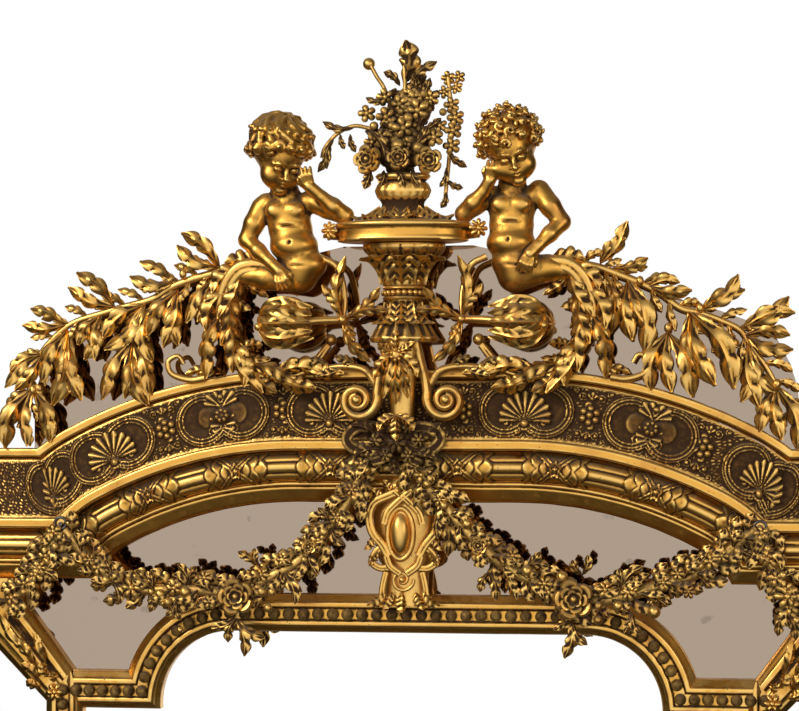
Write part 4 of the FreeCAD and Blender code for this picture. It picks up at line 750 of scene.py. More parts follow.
class Workshop:
    """Collects the pieces and turns them into objects, with the crowding that paints occlusion shade measured over the
    whole mirror.
    """

    def __init__(self, materials: dict[Finish, bpy.types.Material]) -> None:
        """Starts without pieces."""
        self.materials, self.pieces = materials, []

    def add(self, name: str, finish: Finish, replaces: Sequence[str], shells: Sequence[Shell],
            creased: bool = True, shade: float = 0.0) -> None:
        """Keeps a piece; a creased one keeps its sharp edges, and a shaded one gets more painted shade on top of its
        crowding.
        """
        self.pieces.append(Piece(name, finish, tuple(replaces), list(shells), creased, shade))

    def both(self, name: str, finish: Finish, node: str, shells: Sequence[Shell], shade: float = 0.0) -> None:
        """Keeps a right-hand piece and its mirror image."""
        self.add(name + "_right", finish, [node + "_right"], shells, shade=shade)
        self.add(name + "_left", finish, [node + "_left"], [shell.mirrored() for shell in shells], shade=shade)

    def finish(self) -> None:
        """Makes an object of each piece."""
        merged = [piece.merged() for piece in self.pieces]
        crowd = Crowd(np.vstack([shell.points for shell in merged]))
        for piece, shell in zip(self.pieces, merged):
            direction = normals(shell)
            # The crowding, plus the piece's shade, becomes painted occlusion shade in the gilt materials.
            self.build(piece, shell, hollow(shell, direction), crowd.at(shell.points, direction) + piece.shade)

    def build(self, piece: Piece, shell: Shell, cavity: Array, crowding: Array) -> None:
        """Makes one object, with its hollows and its crowding, which is painted as occlusion shade, as attributes."""
        mesh = bpy.data.meshes.new(piece.name)
        quad = shell.faces[:, 3] >= 0
        sizes = np.where(quad, 4, 3)
        corners = shell.faces[shell.faces >= 0]
        mesh.vertices.add(len(shell.points))
        mesh.vertices.foreach_set("co", (shell.points * 0.001).astype(np.float32).ravel())
        mesh.loops.add(len(corners))
        mesh.loops.foreach_set("vertex_index", corners.astype(np.int32))
        mesh.polygons.add(len(sizes))
        mesh.polygons.foreach_set("loop_start", (np.cumsum(sizes) - sizes).astype(np.int32))
        mesh.polygons.foreach_set("loop_total", sizes.astype(np.int32))
        mesh.update(calc_edges=True)
        mesh.validate()
        mesh.shade_smooth()
        if piece.creased:
            mesh.set_sharp_from_angle(angle=math.radians(58))
        for name, values in (("cavity", cavity), ("crowd", crowding)):
            layer = mesh.attributes.new(name, "FLOAT", "POINT")
            layer.data.foreach_set("value", values.astype(np.float32))
        mesh.materials.append(self.materials[piece.finish])
        thing = bpy.data.objects.new(piece.name, mesh)
        bpy.context.scene.collection.objects.link(thing)
        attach(thing, "frame")
        if piece.replaces:
            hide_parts(*piece.replaces)
        LOG.info("%s: %d places, %d faces", piece.name, len(shell.points), len(shell.faces))


# ---------------------------------------------------------------- mouldings
PLATE_FRONT, BACK = 36.3, 28.0


@dataclass(frozen=True)
class ArchMouldings:
    """The bands of the arch and of its shoulders, from the glass outwards."""

    shells_at: tuple[Point, ...] = ((20, 490), (108, 443), (330, 405), (525, 405), (765, 480))
    fruits_at: tuple[Point, ...] = ((222, 415), (652, 425))
    berries_at: tuple[Point, ...] = ((58, 475), (165, 428), (283, 415), (463, 408), (590, 412), (705, 443))
    ribbons_at: tuple[Point, ...] = ((62, 540), (150, 500), (236, 478), (330, 465), (457, 463), (555, 470),
                                     (655, 495), (735, 530))
    step: float = 1.5

    def sight(self, travel: Array, offset: Array) -> Array:
        """Slight unevenness of the smooth fillets."""
        return 0.22 * ripple(travel, offset * 2, 60, 3)

    def frieze(self, travel: Array, offset: Array) -> Array:
        """Carving of the frieze: cartouches, berry rosettes and punched ground."""
        across, up = np.broadcast_arrays(travel, offset - 139.5)
        carving = Carving(across, up)
        for places, draw, size in ((self.berries_at, carving.berries, 1.05), (self.shells_at, carving.shell, 1.25),
                                   (self.fruits_at, carving.fruit, 1.25)):
            for across_, down in places:
                draw((ARCH.locate(VIEW.place(across_, down, 74)), 0), size)
        carving.raise_to(0.8 * np.abs(ripple(across, up, 9, 5)))
        edge = ramp(up, -43.5, -41.5) * ramp(-up, -43.5, -41.5)
        return 1.2 * carving.height * edge

    def reeding(self, travel: Array, offset: Array) -> Array:
        """Carving of the half-round: reeds, leaves that wrap them, and crossed ribbons with a flower."""
        across, up = np.broadcast_arrays(travel, (offset - 53.5) / 21.5)
        angle = np.arcsin(np.clip(up, -1, 1))
        height = 2.6 * np.abs(np.cos(angle * 4)) ** 0.7 - 1.6
        for across_, down in self.ribbons_at:
            away = across - ARCH.locate(VIEW.place(across_, down, 84))
            span = np.abs(away)
            for layer, foot in enumerate((50, 36, 22)):
                leaf_ = foot - span + 9 * np.abs(np.cos(angle * 2.5 + layer * math.pi / 2)) - 5
                scale = ramp(leaf_, 0, 2.5) * (1.8 + 2.0 * (1 - ramp(leaf_, 0, 15))
                                               - 1.3 * np.abs(np.sin(angle * 2.5 + layer * math.pi / 2)) ** 6)
                height = np.where(leaf_ > 0, np.maximum(height, scale), height)
            for hand in (-1, 1):
                band = np.abs(away * 0.6 - hand * angle * 15) / 3.6
                height = np.where(band < 1, 4.0 - 1.4 * np.exp(-(band / 0.35) ** 2), height)
            flower = np.hypot(away, angle * 19)
            petals = 10.5 * (0.84 + 0.16 * np.cos(5 * np.arctan2(away, angle * 19)))
            height = np.where(flower < petals, 4.6 + 1.6 * np.cos(flower / petals * 6), height)
        return height * ramp(1 - np.abs(up), 0, 0.05)

    def profiles(self) -> dict[str, tuple[Array, Callable[[Array, Array], Array] | None]]:
        """Each band's profile and carving."""
        turn = np.linspace(math.pi, 0, 40)
        half_round = np.stack([53.5 + 21.3 * np.cos(turn), 60 + 21.5 * np.sin(turn)], 1)
        half_round = np.vstack([[(32.2, 56)], half_round, [(74.8, 56)]])
        return {
            "sight_band": (rounded([(0, PLATE_FRONT), (0, 46), (3, 50), (22, 58.5), (23.5, 57.0), (24.5, 57.0), (25, 63),
                                    (26.5, 64), (30.5, 64), (31.8, 62), (31.8, 50)]), self.sight),
            "reeded_moulding": (half_round, self.reeding),
            "fillet": (rounded([(75.2, 50), (75.2, 66), (79.0, 70), (79.6, 92), (81, 95), (93.5, 95), (95, 93),
                                (95, 60)]), self.sight),
            "frieze": (np.vstack([[(95.3, 50)], along_line([(95.6, 86.5), (125, 75), (155, 66), (183.7, 60)], 66),
                                  [(183.9, 50)]]), self.frieze),
            "top_fillet": (rounded([(184.2, 50), (184.2, 56), (187.5, 56), (188.3, 65), (190, 66), (200, 66), (202, 64),
                                    (202, 56)]), self.sight),
        }

    def build(self, shop: Workshop) -> None:
        """Makes the arch bands and both shoulders."""
        last = ARCH.lengths[1]
        rows = np.linspace(-last, last, int(2 * last / self.step))
        level = np.linspace(0, 1, 70)
        shoulder = []
        finishes = {"frieze": Finish.DARK, "reeded_moulding": Finish.CARVED}
        for name, (profile, carving) in self.profiles().items():
            travel = rows if name in finishes else rows[::4]
            nodes = [] if name == "fillet" else ["arch_" + name]
            shop.add("arch_" + name, finishes.get(name, Finish.BRIGHT), nodes,
                     [moulding(ARCH.arc, travel, profile, BACK, carving)])
            side = moulding(ARCH.level, level, profile, BACK,
                            lambda travel_, offset, draw=carving: draw(last + 120 * travel_, offset))
            if name == "frieze":
                shop.add("shoulder_frieze", Finish.DARK, [], symmetric([side]))
            else:
                shoulder.append(side)
        shop.both("shoulder", Finish.BRIGHT, "shoulder", shoulder)


@dataclass(frozen=True)
class BeadedFrame:
    """The beaded frame of the main plate: stiles, foot, steps, quadrants, top, and the ears."""

    half_width: float = 507.0
    foot: float = 58.0
    step_z: float = 1281.0
    corner_x: float = 272.0
    corner_z: float = 1290.0
    corner_r: float = 112.0
    width: float = 58.0
    ear: float = 655.0
    bead_radius: float = 9.2
    bead_at: float = 28.0
    pitch: float = 22.0

    def profile(self) -> Array:
        """Cove, fillet, bead channel, fillet and sloping outer face."""
        return rounded([(0, PLATE_FRONT), (0, 46), (2.5, 52), (6, 56), (9.5, 57.5), (10, 60), (11.5, 61), (16.5, 61),
                        (18.2, 60), (18.6, 56), (37.4, 56), (37.8, 60), (39.5, 61), (45.5, 61), (47, 59.5),
                        (47.6, 57), (57, 50), (58, 46), (58, BACK + 2)], 1.3)

    def straight(self, level: bool, base: float, hand: float, start: Relief, end: Relief) -> Course:
        """A straight course with its own end at each offset; level ones run across, others up."""
        def place(travel: Array, offset: Array) -> tuple[Array, Array]:
            """Places across and up."""
            run = start(offset, offset) + (end(offset, offset) - start(offset, offset)) * travel
            rise = base + hand * offset + 0 * travel
            return (run, rise) if level else (rise, run)
        return place

    def arc_foot(self, offset: Array, _: Array) -> Array:
        """Where the quadrant meets the step, across."""
        radius = self.corner_r + offset
        return self.corner_x + np.sqrt(radius ** 2 - (self.step_z + offset - self.corner_z) ** 2)

    def quadrant(self, travel: Array, offset: Array) -> tuple[Array, Array]:
        """The quadrant from the step (nought) to the top (one)."""
        radius = self.corner_r + offset
        start = np.arcsin((self.step_z + offset - self.corner_z) / radius)
        turn = start + (math.pi / 2 - start) * travel
        return self.corner_x + radius * np.cos(turn), self.corner_z + radius * np.sin(turn)

    def ear_course(self, inner: Sequence[Point], outer: Sequence[Point]) -> Course:
        """A course between two lines of places, the inner at offset nought and the outer at 58."""
        inner_, outer_ = np.array(inner, float), np.array(outer, float)

        def place(travel: Array, offset: Array) -> tuple[Array, Array]:
            """Places across and up."""
            spot = np.clip(travel, 0, 1) * (len(inner_) - 1)
            knots = np.arange(len(inner_))
            share = offset / self.width
            return tuple(np.interp(spot, knots, inner_[:, axis]) * (1 - share)
                         + np.interp(spot, knots, outer_[:, axis]) * share for axis in (0, 1))
        return place

    def beads(self) -> Shell:
        """All the beads, where the channel runs."""
        top = self.corner_z + self.corner_r + self.bead_at
        step, side, low = self.step_z + self.bead_at, self.half_width + self.bead_at, self.foot - self.bead_at
        radius = self.corner_r + self.bead_at
        start = math.asin((step - self.corner_z) / radius)
        turn = np.linspace(start, math.pi / 2, 60)
        arc = np.stack([self.corner_x + radius * np.cos(turn), self.corner_z + radius * np.sin(turn)], 1)
        places = []
        for run in (((0, low), (side, low)), ((side, low), (side, step)), ((side, step), tuple(arc[0])), arc,
                    (tuple(arc[-1]), (0, top))):
            length = np.linalg.norm(np.diff(np.array(run), axis=0), axis=1).sum()
            places.append(along_line(run, max(2, round(length / self.pitch) + 1))[:-1])
        right = np.vstack(places)
        spots = np.vstack([right, right[1:] * (-1, 1), [(0, top)]])
        one = ball((0, 0, 0), self.bead_radius, 8, 14)
        random = np.random.default_rng(11)
        centres = np.stack([spots[:, 0], np.full(len(spots), -60.1), spots[:, 1]], 1)
        centres += random.uniform(-0.35, 0.35, centres.shape)
        points = (one.points[None] * random.uniform(0.95, 1.03, (len(spots), 1, 1)) + centres[:, None]).reshape(-1, 3)
        starts = (np.arange(len(spots)) * len(one.points))[:, None, None]
        return Shell(points, np.where(one.faces >= 0, one.faces + starts, -1).reshape(-1, 4))

    def build(self, shop: Workshop) -> None:
        """Makes the mouldings, the beads and the ears."""
        profile = self.profile()
        wave = lambda travel, offset: 0.18 * ripple(travel * 300, offset * 2, 50, 7)
        keep = lambda value: (lambda offset, _: value + 0 * offset)
        spread = lambda offset, _: np.interp(offset, (0, 15, 58), (self.step_z, self.step_z + 58, self.corner_z))
        low = lambda offset, _: self.foot - offset
        out = lambda sign: (lambda offset, _: sign * (self.half_width + offset))
        aslant = lambda offset, _: self.half_width + 15 * offset / self.width
        rows = np.linspace(0, 1, 60)

        def run(course: Course, count: int = 60) -> Shell:
            """A length of the beaded moulding."""
            return moulding(course, np.linspace(0, 1, count), profile, BACK, wave)

        shop.both("stile_moulding", Finish.BRIGHT, "stile_moulding",
                  [run(self.straight(False, self.half_width, 1, low, spread), 90)])
        shop.both("step_moulding", Finish.BRIGHT, "step_moulding",
                  [run(self.straight(True, self.step_z, 1, self.arc_foot, aslant), 14)])
        shop.both("corner_moulding", Finish.BRIGHT, "corner_moulding", [run(self.quadrant, 40)])
        shop.add("top_moulding", Finish.BRIGHT, ["top_moulding"],
                 [run(self.straight(True, self.corner_z + self.corner_r, 1, keep(-self.corner_x),
                                    keep(self.corner_x)))])
        shop.add("bottom_moulding", Finish.BRIGHT, ["bottom_moulding"],
                 [run(self.straight(True, self.foot, -1, out(-1), out(1)), 80)])
        shop.add("frame_beads", Finish.DARK, ["frame_beads"], [self.beads()], shade=0.42)
        ear_profile = rounded([(0, PLATE_FRONT), (0, 46), (3, 52), (8, 57), (9, 59.5), (16, 60), (17, 57), (21, 55),
                               (25, 57), (26, 60), (42, 60), (43, 58), (47, 56), (50, 56), (56, 50), (58, 46),
                               (58, BACK + 2)], 1.3)
        course = self.ear_course([(522, 1339), (597, 1440), (597, 1480)], [(565, 1290), (654.6, 1382), (654.6, 1480)])
        foot = np.array([546.0, -64.0, 1306.0])
        tips = ((20, 46), (52, 44), (30, 92), (66, 84), (86, 120), (4, 30), (44, 18))
        sprig = [leaf(foot + (0.5 * x, 0, 0.5 * z), foot + (x, -6, z), 19, 0.08 * (-1) ** index)
                 for index, (x, z) in enumerate(tips)]
        shop.both("ear_moulding", Finish.BRIGHT, "ear_moulding",
                  [moulding(course, np.linspace(0, 1, 41), ear_profile, BACK, wave), *sprig, *floret(foot, 15)])


# ---------------------------------------------------------------- leaves and flowers
def leaf(base: Array, tip: Array, width: float = 0.0, bow: float = 0.1, cut: Cut = LAUREL, rows: int = 26,
         columns: int = 9) -> Shell:
    """A leaf between two places, bowed to one side and forwards.

    Args:
        base: its foot.
        tip: its point.
        width: its width, or nought to let it follow the length.
        bow: sideways bow as a share of its length.
        cut: how it is carved.
        rows: places along it.
        columns: places across its face.

    Returns:
        The surface.
    """
    run = tip - base
    length = float(np.linalg.norm(run))
    side = unit(np.cross(run, FRONT))
    middle = (base + tip) / 2 + side * bow * length + FRONT * 0.12 * length
    lean = 0.5 * math.sin(tip[0] * 0.9 + tip[2] * 0.7)
    return blade([base, middle, tip], width or 8 + 0.24 * length, cut, unit(FRONT + side * lean), rows, columns)


def spray(base: Point, tips: Sequence[Point], depth: float, rise: float = 9.0, width: float = 0.0,
          cut: Cut = LAUREL) -> list[Shell]:
    """Leaves that part from one pixel towards others, at a depth; their tips stand further forward."""
    foot = VIEW.place(*base, depth)
    return [leaf(foot, VIEW.place(*tip, depth + rise), width, 0.11 * (-1) ** index, cut)
            for index, tip in enumerate(tips)]


def fringe(path: Array, step: float, length: float, width: float, cut: Cut = LAUREL, spread: float = 0.7,
           sides: Sequence[int] = (-1, 1)) -> list[Shell]:
    """Small leaves on the sides of a stem, one after the other, that point the way it runs."""
    run = np.linalg.norm(np.diff(path, axis=0), axis=1).sum()
    line = along_line(path, max(4, int(run / step)))
    ways, across, _ = frames(line, FRONT)
    shells = []
    for index, (place, way, side) in enumerate(zip(line[:-1], ways, across)):
        hand = sides[index % len(sides)]
        size = length * (0.85 + 0.15 * math.sin(index * 2.3))
        aim = unit(way + side * hand * spread + FRONT * (0.16 + 0.12 * math.sin(index * 1.7)))
        shells.append(leaf(place + FRONT * 2, place + aim * size, width, 0.1 * hand, cut, 20, 7))
    return shells


def rose(centre: Array, radius: float, facing: Array = FRONT) -> list[Shell]:
    """An open rose: three rings of five cupped petals, each inside the last, round a bud."""
    facing, shells = unit(np.asarray(facing, float)), []
    for layer in range(3):
        def petal(turn: Array, phase: float = 0.63 * layer) -> Array:
            """Nought between two petals and one in the middle of each."""
            return np.abs(np.cos(2.5 * (turn + phase)))

        def edge(share: Array, turn: Array) -> Array:
            """The lobed rim."""
            return 0.78 + 0.22 * petal(turn) ** 0.5 + 0 * share

        def relief(share: Array, turn: Array) -> Array:
            """Petals that rise outwards and roll over at their rim."""
            return 0.40 * share ** 1.6 - 0.34 * ramp(share, 0.84, 1.0) + 0.16 * petal(turn) * share

        shells.append(disc(centre + facing * layer * radius * 0.17, radius * (1 - 0.27 * layer), relief, facing,
                           edge, 9, 30, radius * 0.1))
    shells.append(ball(centre + facing * radius * 0.5, radius * 0.17, 6, 10))
    return shells


def floret(centre: Array, radius: float, facing: Array = FRONT, petals: int = 6) -> list[Shell]:
    """A small flower: rounded petals round a bead."""
    facing = unit(np.asarray(facing, float))

    def beat(turn: Array) -> Array:
        """Nought between two petals and one in the middle of each."""
        return np.abs(np.cos(petals / 2 * turn))

    return [disc(centre, radius, lambda share, turn: 0.30 * np.sin(math.pi * share) * (0.3 + 0.7 * beat(turn)),
                 facing, lambda share, turn: 0.60 + 0.40 * beat(turn) ** 0.6 + 0 * share, 7, 6 * petals,
                 radius * 0.14),
            ball(centre + facing * radius * 0.2, radius * 0.3, 6, 8)]


# ---------------------------------------------------------------- crest: branches and scrolls
Sprays = tuple[tuple[Point, tuple[Point, ...]], ...]


@dataclass(frozen=True)
class Branch:
    """A laurel branch of the crest: its stem in pixels, and sprays of leaves as (foot, tips)."""

    node: str
    stem: tuple[Point, ...]
    sprays: Sprays
    nodes: tuple[Point, ...]
    depth: float = 56.0

    def build(self, shop: Workshop) -> None:
        """Makes the branch."""
        path = spline(VIEW.places(self.stem, self.depth), 100)
        shells = [sweep(path, np.linspace(7.0, 3.4, 100), flat=0.9)]
        shells += fringe(path[4:], 15, 46, 16, spread=0.85)
        for foot, tips in self.sprays:
            shells += spray(foot, tips, self.depth + 3)
        shells += [ball(VIEW.place(*spot, self.depth + 8), (6, 6, 8)) for spot in self.nodes]
        shop.add(self.node, Finish.CARVED, [self.node], shells)


BRANCHES = (
    Branch("laurel_branch_left",
           ((240, 266), (215, 273), (190, 280), (170, 288), (155, 298), (140, 303), (120, 308), (100, 314), (80, 320),
            (65, 328), (50, 342), (40, 355), (35, 370), (30, 385), (26, 405), (18, 428)),
           (((220, 268), ((182, 233), (177, 246))), ((175, 283), ((140, 262), (130, 277))),
            ((115, 307), ((77, 273), (69, 287))), ((65, 325), ((31, 309), (23, 325))),
            ((215, 279), ((187, 323), (198, 322), (206, 318))), ((178, 290), ((148, 335), (163, 347), (178, 345))),
            ((145, 304), ((103, 338), (105, 350), (128, 345))), ((148, 308), ((152, 362),)),
            ((132, 341), ((103, 400), (150, 395), (148, 405), (125, 398))),
            ((100, 316), ((78, 345), (85, 360), (95, 360))),
            ((68, 330), ((42, 382), (60, 392), (70, 392), (53, 405), (82, 400))),
            ((42, 354), ((6, 388), (15, 390), (10, 372))), ((33, 388), ((5, 448), (50, 442), (28, 446))),
            ((24, 405), ((-6, 440), (-2, 425)))),
           ((183, 274), (132, 338), (33, 390), (205, 300))),
    Branch("laurel_branch_right",
           ((570, 262), (600, 268), (620, 275), (640, 283), (660, 293), (680, 308), (700, 313), (720, 320), (740, 330),
            (750, 345), (765, 365), (778, 388), (790, 410), (797, 430)),
           (((600, 264), ((627, 221), (626, 238))), ((612, 268), ((648, 258),)), ((648, 286), ((692, 290), (680, 282))),
            ((700, 311), ((739, 275), (745, 290))), ((742, 328), ((789, 297), (795, 312))),
            ((745, 335), ((793, 350), (790, 335))), ((605, 272), ((625, 315), (610, 333))),
            ((628, 280), ((632, 340), (645, 352), (655, 335))), ((690, 311), ((715, 385), (735, 388), (700, 372))),
            ((748, 343), ((760, 407), (742, 402), (775, 392))), ((668, 332), ((650, 390), (692, 397), (672, 392))),
            ((777, 386), ((760, 432), (799, 450), (782, 440))), ((720, 321), ((728, 362), (712, 352)))),
           ((668, 328), (777, 384), (640, 281), (700, 308))),
)


@dataclass(frozen=True)
class Scroll:
    """An acanthus scroll with the rolled leaf in it; drawn on the left, the right one is its mirror image."""

    band: tuple[Point, ...] = ((290, 280, 88), (262, 268, 90), (240, 270, 90), (226, 290, 86), (223, 318, 82),
                               (234, 348, 80), (257, 369, 78), (285, 375, 76), (311, 366, 76), (329, 345, 78))
    outer: Sprays = (((262, 266), ((226, 262),)), ((242, 266), ((212, 292), (218, 318))),
                     ((230, 285), ((205, 330), (222, 345))), ((224, 310), ((207, 378), (232, 372))),
                     ((230, 338), ((264, 392), (246, 386))), ((250, 364), ((276, 392), (298, 386))),
                     ((275, 372), ((316, 388), (326, 372))), ((300, 366), ((344, 372),)))
    inner: Sprays = (((226, 300), ((242, 330), (250, 310))), ((240, 272), ((268, 296),)),
                     ((240, 350), ((270, 360), (262, 345))))
    bud: Point = (285, 322, 112)
    bud_radius: float = 43.0
    sprig: Point = (343, 320)
    sprig_tips: tuple[Point, ...] = ((322, 286), (345, 257), (380, 288), (388, 310), (370, 362), (352, 345))
    tendril: tuple[Point, ...] = ((321, 258, 92), (336, 266, 92), (343, 284, 92), (345, 302, 96), (343, 318, 100))

    def rolled(self) -> list[Shell]:
        """The rolled leaf: a drop with folds that wind to its mouth, a knob, and the curled lip."""
        centre = VIEW.place(*self.bud)
        axis = basis((0.93, -0.30, -0.05), (0, 0, 1))
        polar = np.linspace(0.05, math.pi - 0.05, 40)[:, None]
        turn = np.linspace(0, 2 * math.pi, 72, endpoint=False)[None]
        fold = np.abs(np.sin(4 * turn + 2.0 * polar))
        radius = self.bud_radius * (0.84 + 0.13 * fold ** 0.6 * np.sin(polar) - 0.25 * np.exp(-(polar / 0.4) ** 2))
        spots = np.stack([np.sin(polar) * np.cos(turn), 1.12 * np.cos(polar) + 0 * turn,
                          0.96 * np.sin(polar) * np.sin(turn)], -1) * radius[..., None]
        shells = [tube(centre + spots @ axis)]
        shells.append(ball(centre + (-self.bud_radius * 0.86, -20, -8), 6.5))
        for lift in (-1.15, -0.62, -0.1, 0.42, 0.95):
            run = [centre + self.bud_radius * reach_ * np.array([math.sin(turn_), -math.cos(turn_) * math.cos(lift),
                                                                 math.cos(turn_) * math.sin(lift)])
                   for turn_, reach_ in ((-1.25, 0.9), (-0.6, 0.98), (0.0, 1.0), (0.55, 0.98), (1.1, 1.08))]
            shells.append(blade(run, 27, ACANTHUS, (0, -math.cos(lift), math.sin(lift)), 34, 11))
        node = VIEW.place(*self.sprig, 104)
        shells.append(sweep(spline([centre + (30, -14, -2), (centre + node) / 2 + (8, -10, 0), node], 16), 6))
        shells += [leaf(node, VIEW.place(*tip, 108), 20, 0.1 * (-1) ** index, ACANTHUS)
                   for index, tip in enumerate(self.sprig_tips)]
        shells.append(ball(node + FRONT * 6, 7))
        shells.append(sweep(spline(VIEW.places(self.tendril, 95), 24), np.linspace(5.5, 4, 24)))
        return shells

    def build(self, shop: Workshop) -> None:
        """Makes both scrolls and both rolled leaves."""
        path = spline(VIEW.places(self.band, 85), 90)
        shells = [sweep(path, np.interp(np.linspace(0, 1, 90), (0, 0.2, 0.7, 1), (15, 14, 10, 6)), flat=0.9,
                        sides=16, groove=0.3)]
        for foot, tips in self.outer:
            shells += spray(foot, tips, 84, 6, 30, ACANTHUS)
        for foot, tips in self.inner:
            shells += spray(foot, tips, 80, -4, 20, ACANTHUS)
        shells += [ball(VIEW.place(331, 340, 80), 9)]
        curl = spline(VIEW.places(((205, 378), (190, 380), (172, 374), (168, 362), (178, 356), (184, 364)), 70), 30)
        shells.append(sweep(curl, np.linspace(6, 3.5, 30)))
        shells += spray((215, 372), ((186, 374), (196, 366)), 70, 4, 16, ACANTHUS)
        shop.both("acanthus_scroll", Finish.CARVED, "acanthus_scroll", [shell.mirrored() for shell in shells])
        shop.both("rolled_leaf", Finish.CARVED, "rolled_leaf", [shell.mirrored() for shell in self.rolled()])


# ---------------------------------------------------------------- crest: cherubs
@dataclass(frozen=True)
class Putto:
    """A cherub who leans on the shelf with a cheek in one hand; places are pixels with a depth."""

    node: str
    head: Point
    forward: Point
    upward: Point
    chest: Point
    belly: Point
    hips: Point
    tail: tuple[Point, ...]
    propped: tuple[Point, ...]
    lowered: tuple[Point, ...]
    inward: int
    curly: bool
    size: float = 44.0

    def put(self, x: float, ahead: float, up: float) -> Array:
        """A place of the head, in head radii to the side, forward and up."""
        return VIEW.place(*self.head) + self.size * (np.array([x, ahead, up]) @ basis(self.forward, self.upward))

    def mass(self, clay: Clay, where: Point, radii: Point, blend: float, carve: bool = False) -> None:
        """An ellipsoid of the head, in head radii."""
        clay.lump(self.put(*where), np.array(radii) * self.size, blend, basis(self.forward, self.upward), carve)

    def face(self, clay: Clay) -> None:
        """Skull, cheeks, eyes under lowered lids, nose, lips and chin."""
        self.mass(clay, (0, -0.15, 0.35), (0.96, 1.05, 0.98), 4)
        self.mass(clay, (0, 0.30, -0.30), (0.66, 0.60, 0.66), 6)
        self.mass(clay, (0, 0.56, 0.16), (0.60, 0.42, 0.44), 6)
        self.mass(clay, (0, 0.48, -0.72), (0.46, 0.40, 0.32), 6)
        self.mass(clay, (0, 0.76, -0.90), (0.25, 0.22, 0.19), 4)
        self.mass(clay, (0, 0.70, -0.60), (0.32, 0.27, 0.22), 5)
        for side in (-1, 1):
            self.mass(clay, (side * 0.35, 0.55, -0.46), (0.37, 0.37, 0.38), 8)
            self.mass(clay, (side * 0.30, 1.01, -0.08), (0.18, 0.18, 0.125), 2, True)
            self.mass(clay, (side * 0.29, 0.85, -0.11), (0.155, 0.13, 0.105), 1)
            self.mass(clay, (side * 0.29, 0.99, -0.155), (0.17, 0.05, 0.02), 0.8, True)
            clay.limb([self.put(side * 0.10, 0.95, 0.06), self.put(side * 0.30, 0.97, 0.13),
                       self.put(side * 0.50, 0.80, 0.05)], (0.055 * self.size,) * 3, 2)
        clay.limb([self.put(0, 0.92, 0.02), self.put(0, 0.98, -0.18), self.put(0, 1.13, -0.37)],
                  np.array((0.07, 0.075, 0.115)) * self.size, 2)
        for side in (-1, 1):
            self.mass(clay, (side * 0.105, 1.02, -0.40), (0.08, 0.08, 0.06), 1)
        for height, ahead, thick in ((-0.585, 0.97, 0.05), (-0.69, 0.955, 0.058)):
            clay.limb([self.put(-0.17, 0.88, height - 0.02), self.put(0, ahead, height + 0.03),
                       self.put(0.17, 0.88, height - 0.02)], np.array((0.03, thick, 0.03)) * self.size, 1)
        self.mass(clay, (0, 0.99, -0.622), (0.18, 0.07, 0.02), 0.6, True)
        self.mass(clay, (0, 0.985, -0.785), (0.14, 0.06, 0.035), 2, True)

    def hair(self, clay: Clay) -> None:
        """Locks over the skull: ringlets, or swept strands that end in a roll over the brow."""
        def over(polar: float, turn: float, lift: float) -> tuple[float, float, float]:
            """A place on the hair, by angle from the crown and angle round from the face."""
            return (lift * 0.96 * math.sin(polar) * math.sin(turn), -0.15 + lift * 1.05 * math.sin(polar)
                    * math.cos(turn), 0.35 + lift * 0.98 * math.cos(polar))

        def ringlet(polar: float, turn: float, width: float, thick: float, seed: float) -> None:
            """A curl that winds once on the hair."""
            middle = np.array(over(polar, turn, 1.07 + 0.03 * math.sin(seed * 1.9)))
            normal = unit(middle - (0, -0.15, 0.35))
            first = unit(np.cross(normal, (0.3, 0.5, 0.8)))
            second = np.cross(normal, first)
            loop = [middle + width * (1.1 - 0.11 * step) * (first * math.cos(step + seed) + second * math.sin(step + seed))
                    + normal * 0.022 * step for step in np.linspace(0, 9.4, 15)]
            clay.limb([self.put(*spot) for spot in loop], np.linspace(thick, 0.75 * thick, 15) * self.size, 0.7)

        count = 78 if self.curly else 17
        for index in range(count):
            if self.curly:
                polar, turn = math.acos(1 - 2 * (index + 0.5) / count), index * 2.4
                if polar < 1.46 + 0.45 * (1 - math.cos(turn)):
                    ringlet(polar, turn, 0.17, 0.075, index)
                continue
            turn = index * 2 * math.pi / count + 0.16
            edge = 1.16 + 0.55 * (1 - math.cos(turn + 0.9))
            polars = np.linspace(0.15, edge, 8)
            path = [self.put(*over(polar, turn + 0.9 * (polar / edge) ** 2 - 0.25 * math.sin(4 * polar),
                                   1.07 + 0.07 * math.sin(3.2 * polar + 2.6 * index))) for polar in polars]
            clay.limb(path, np.interp(polars, (0.15, 0.7, edge), (0.09, 0.155, 0.11)) * self.size, 0.6)
            ringlet(edge + 0.05, turn + 0.9, 0.20, 0.095, 2.1 * index)
            ringlet(edge * 0.66, turn + 0.75, 0.17, 0.08, 3.3 * index)

    def arm(self, clay: Clay, spots: tuple[Point, ...], radii: Point) -> None:
        """An arm from shoulder over elbow and wrist to the palm, with four fingers and a thumb."""
        shoulder, elbow, wrist, palm, tip = (VIEW.place(*spot) for spot in spots)
        clay.limb([shoulder, (shoulder + elbow) / 2 + FRONT * 3, elbow, (elbow + wrist) / 2 + FRONT * 2, wrist],
                  radii, 4)
        clay.limb([wrist, palm], (9.5, 9.5), 3)
        run = unit(tip - palm)
        side = unit(np.cross(run, FRONT))
        for finger in range(4):
            start = palm + side * (finger - 1.5) * 4.4 + FRONT * 3 + run * 5
            end = start + run * (24 - 2.2 * abs(finger - 1.4)) + side * (finger - 1.5) * 2.5
            clay.limb([start, (start + end) / 2 + FRONT * 4, end], (3.9, 3.6, 2.9), 0.7)
        clay.limb([palm - side * 6, palm - side * 13 + run * 9, palm - side * 13 + run * 15], (4.2, 3.7, 3.0), 1.2)

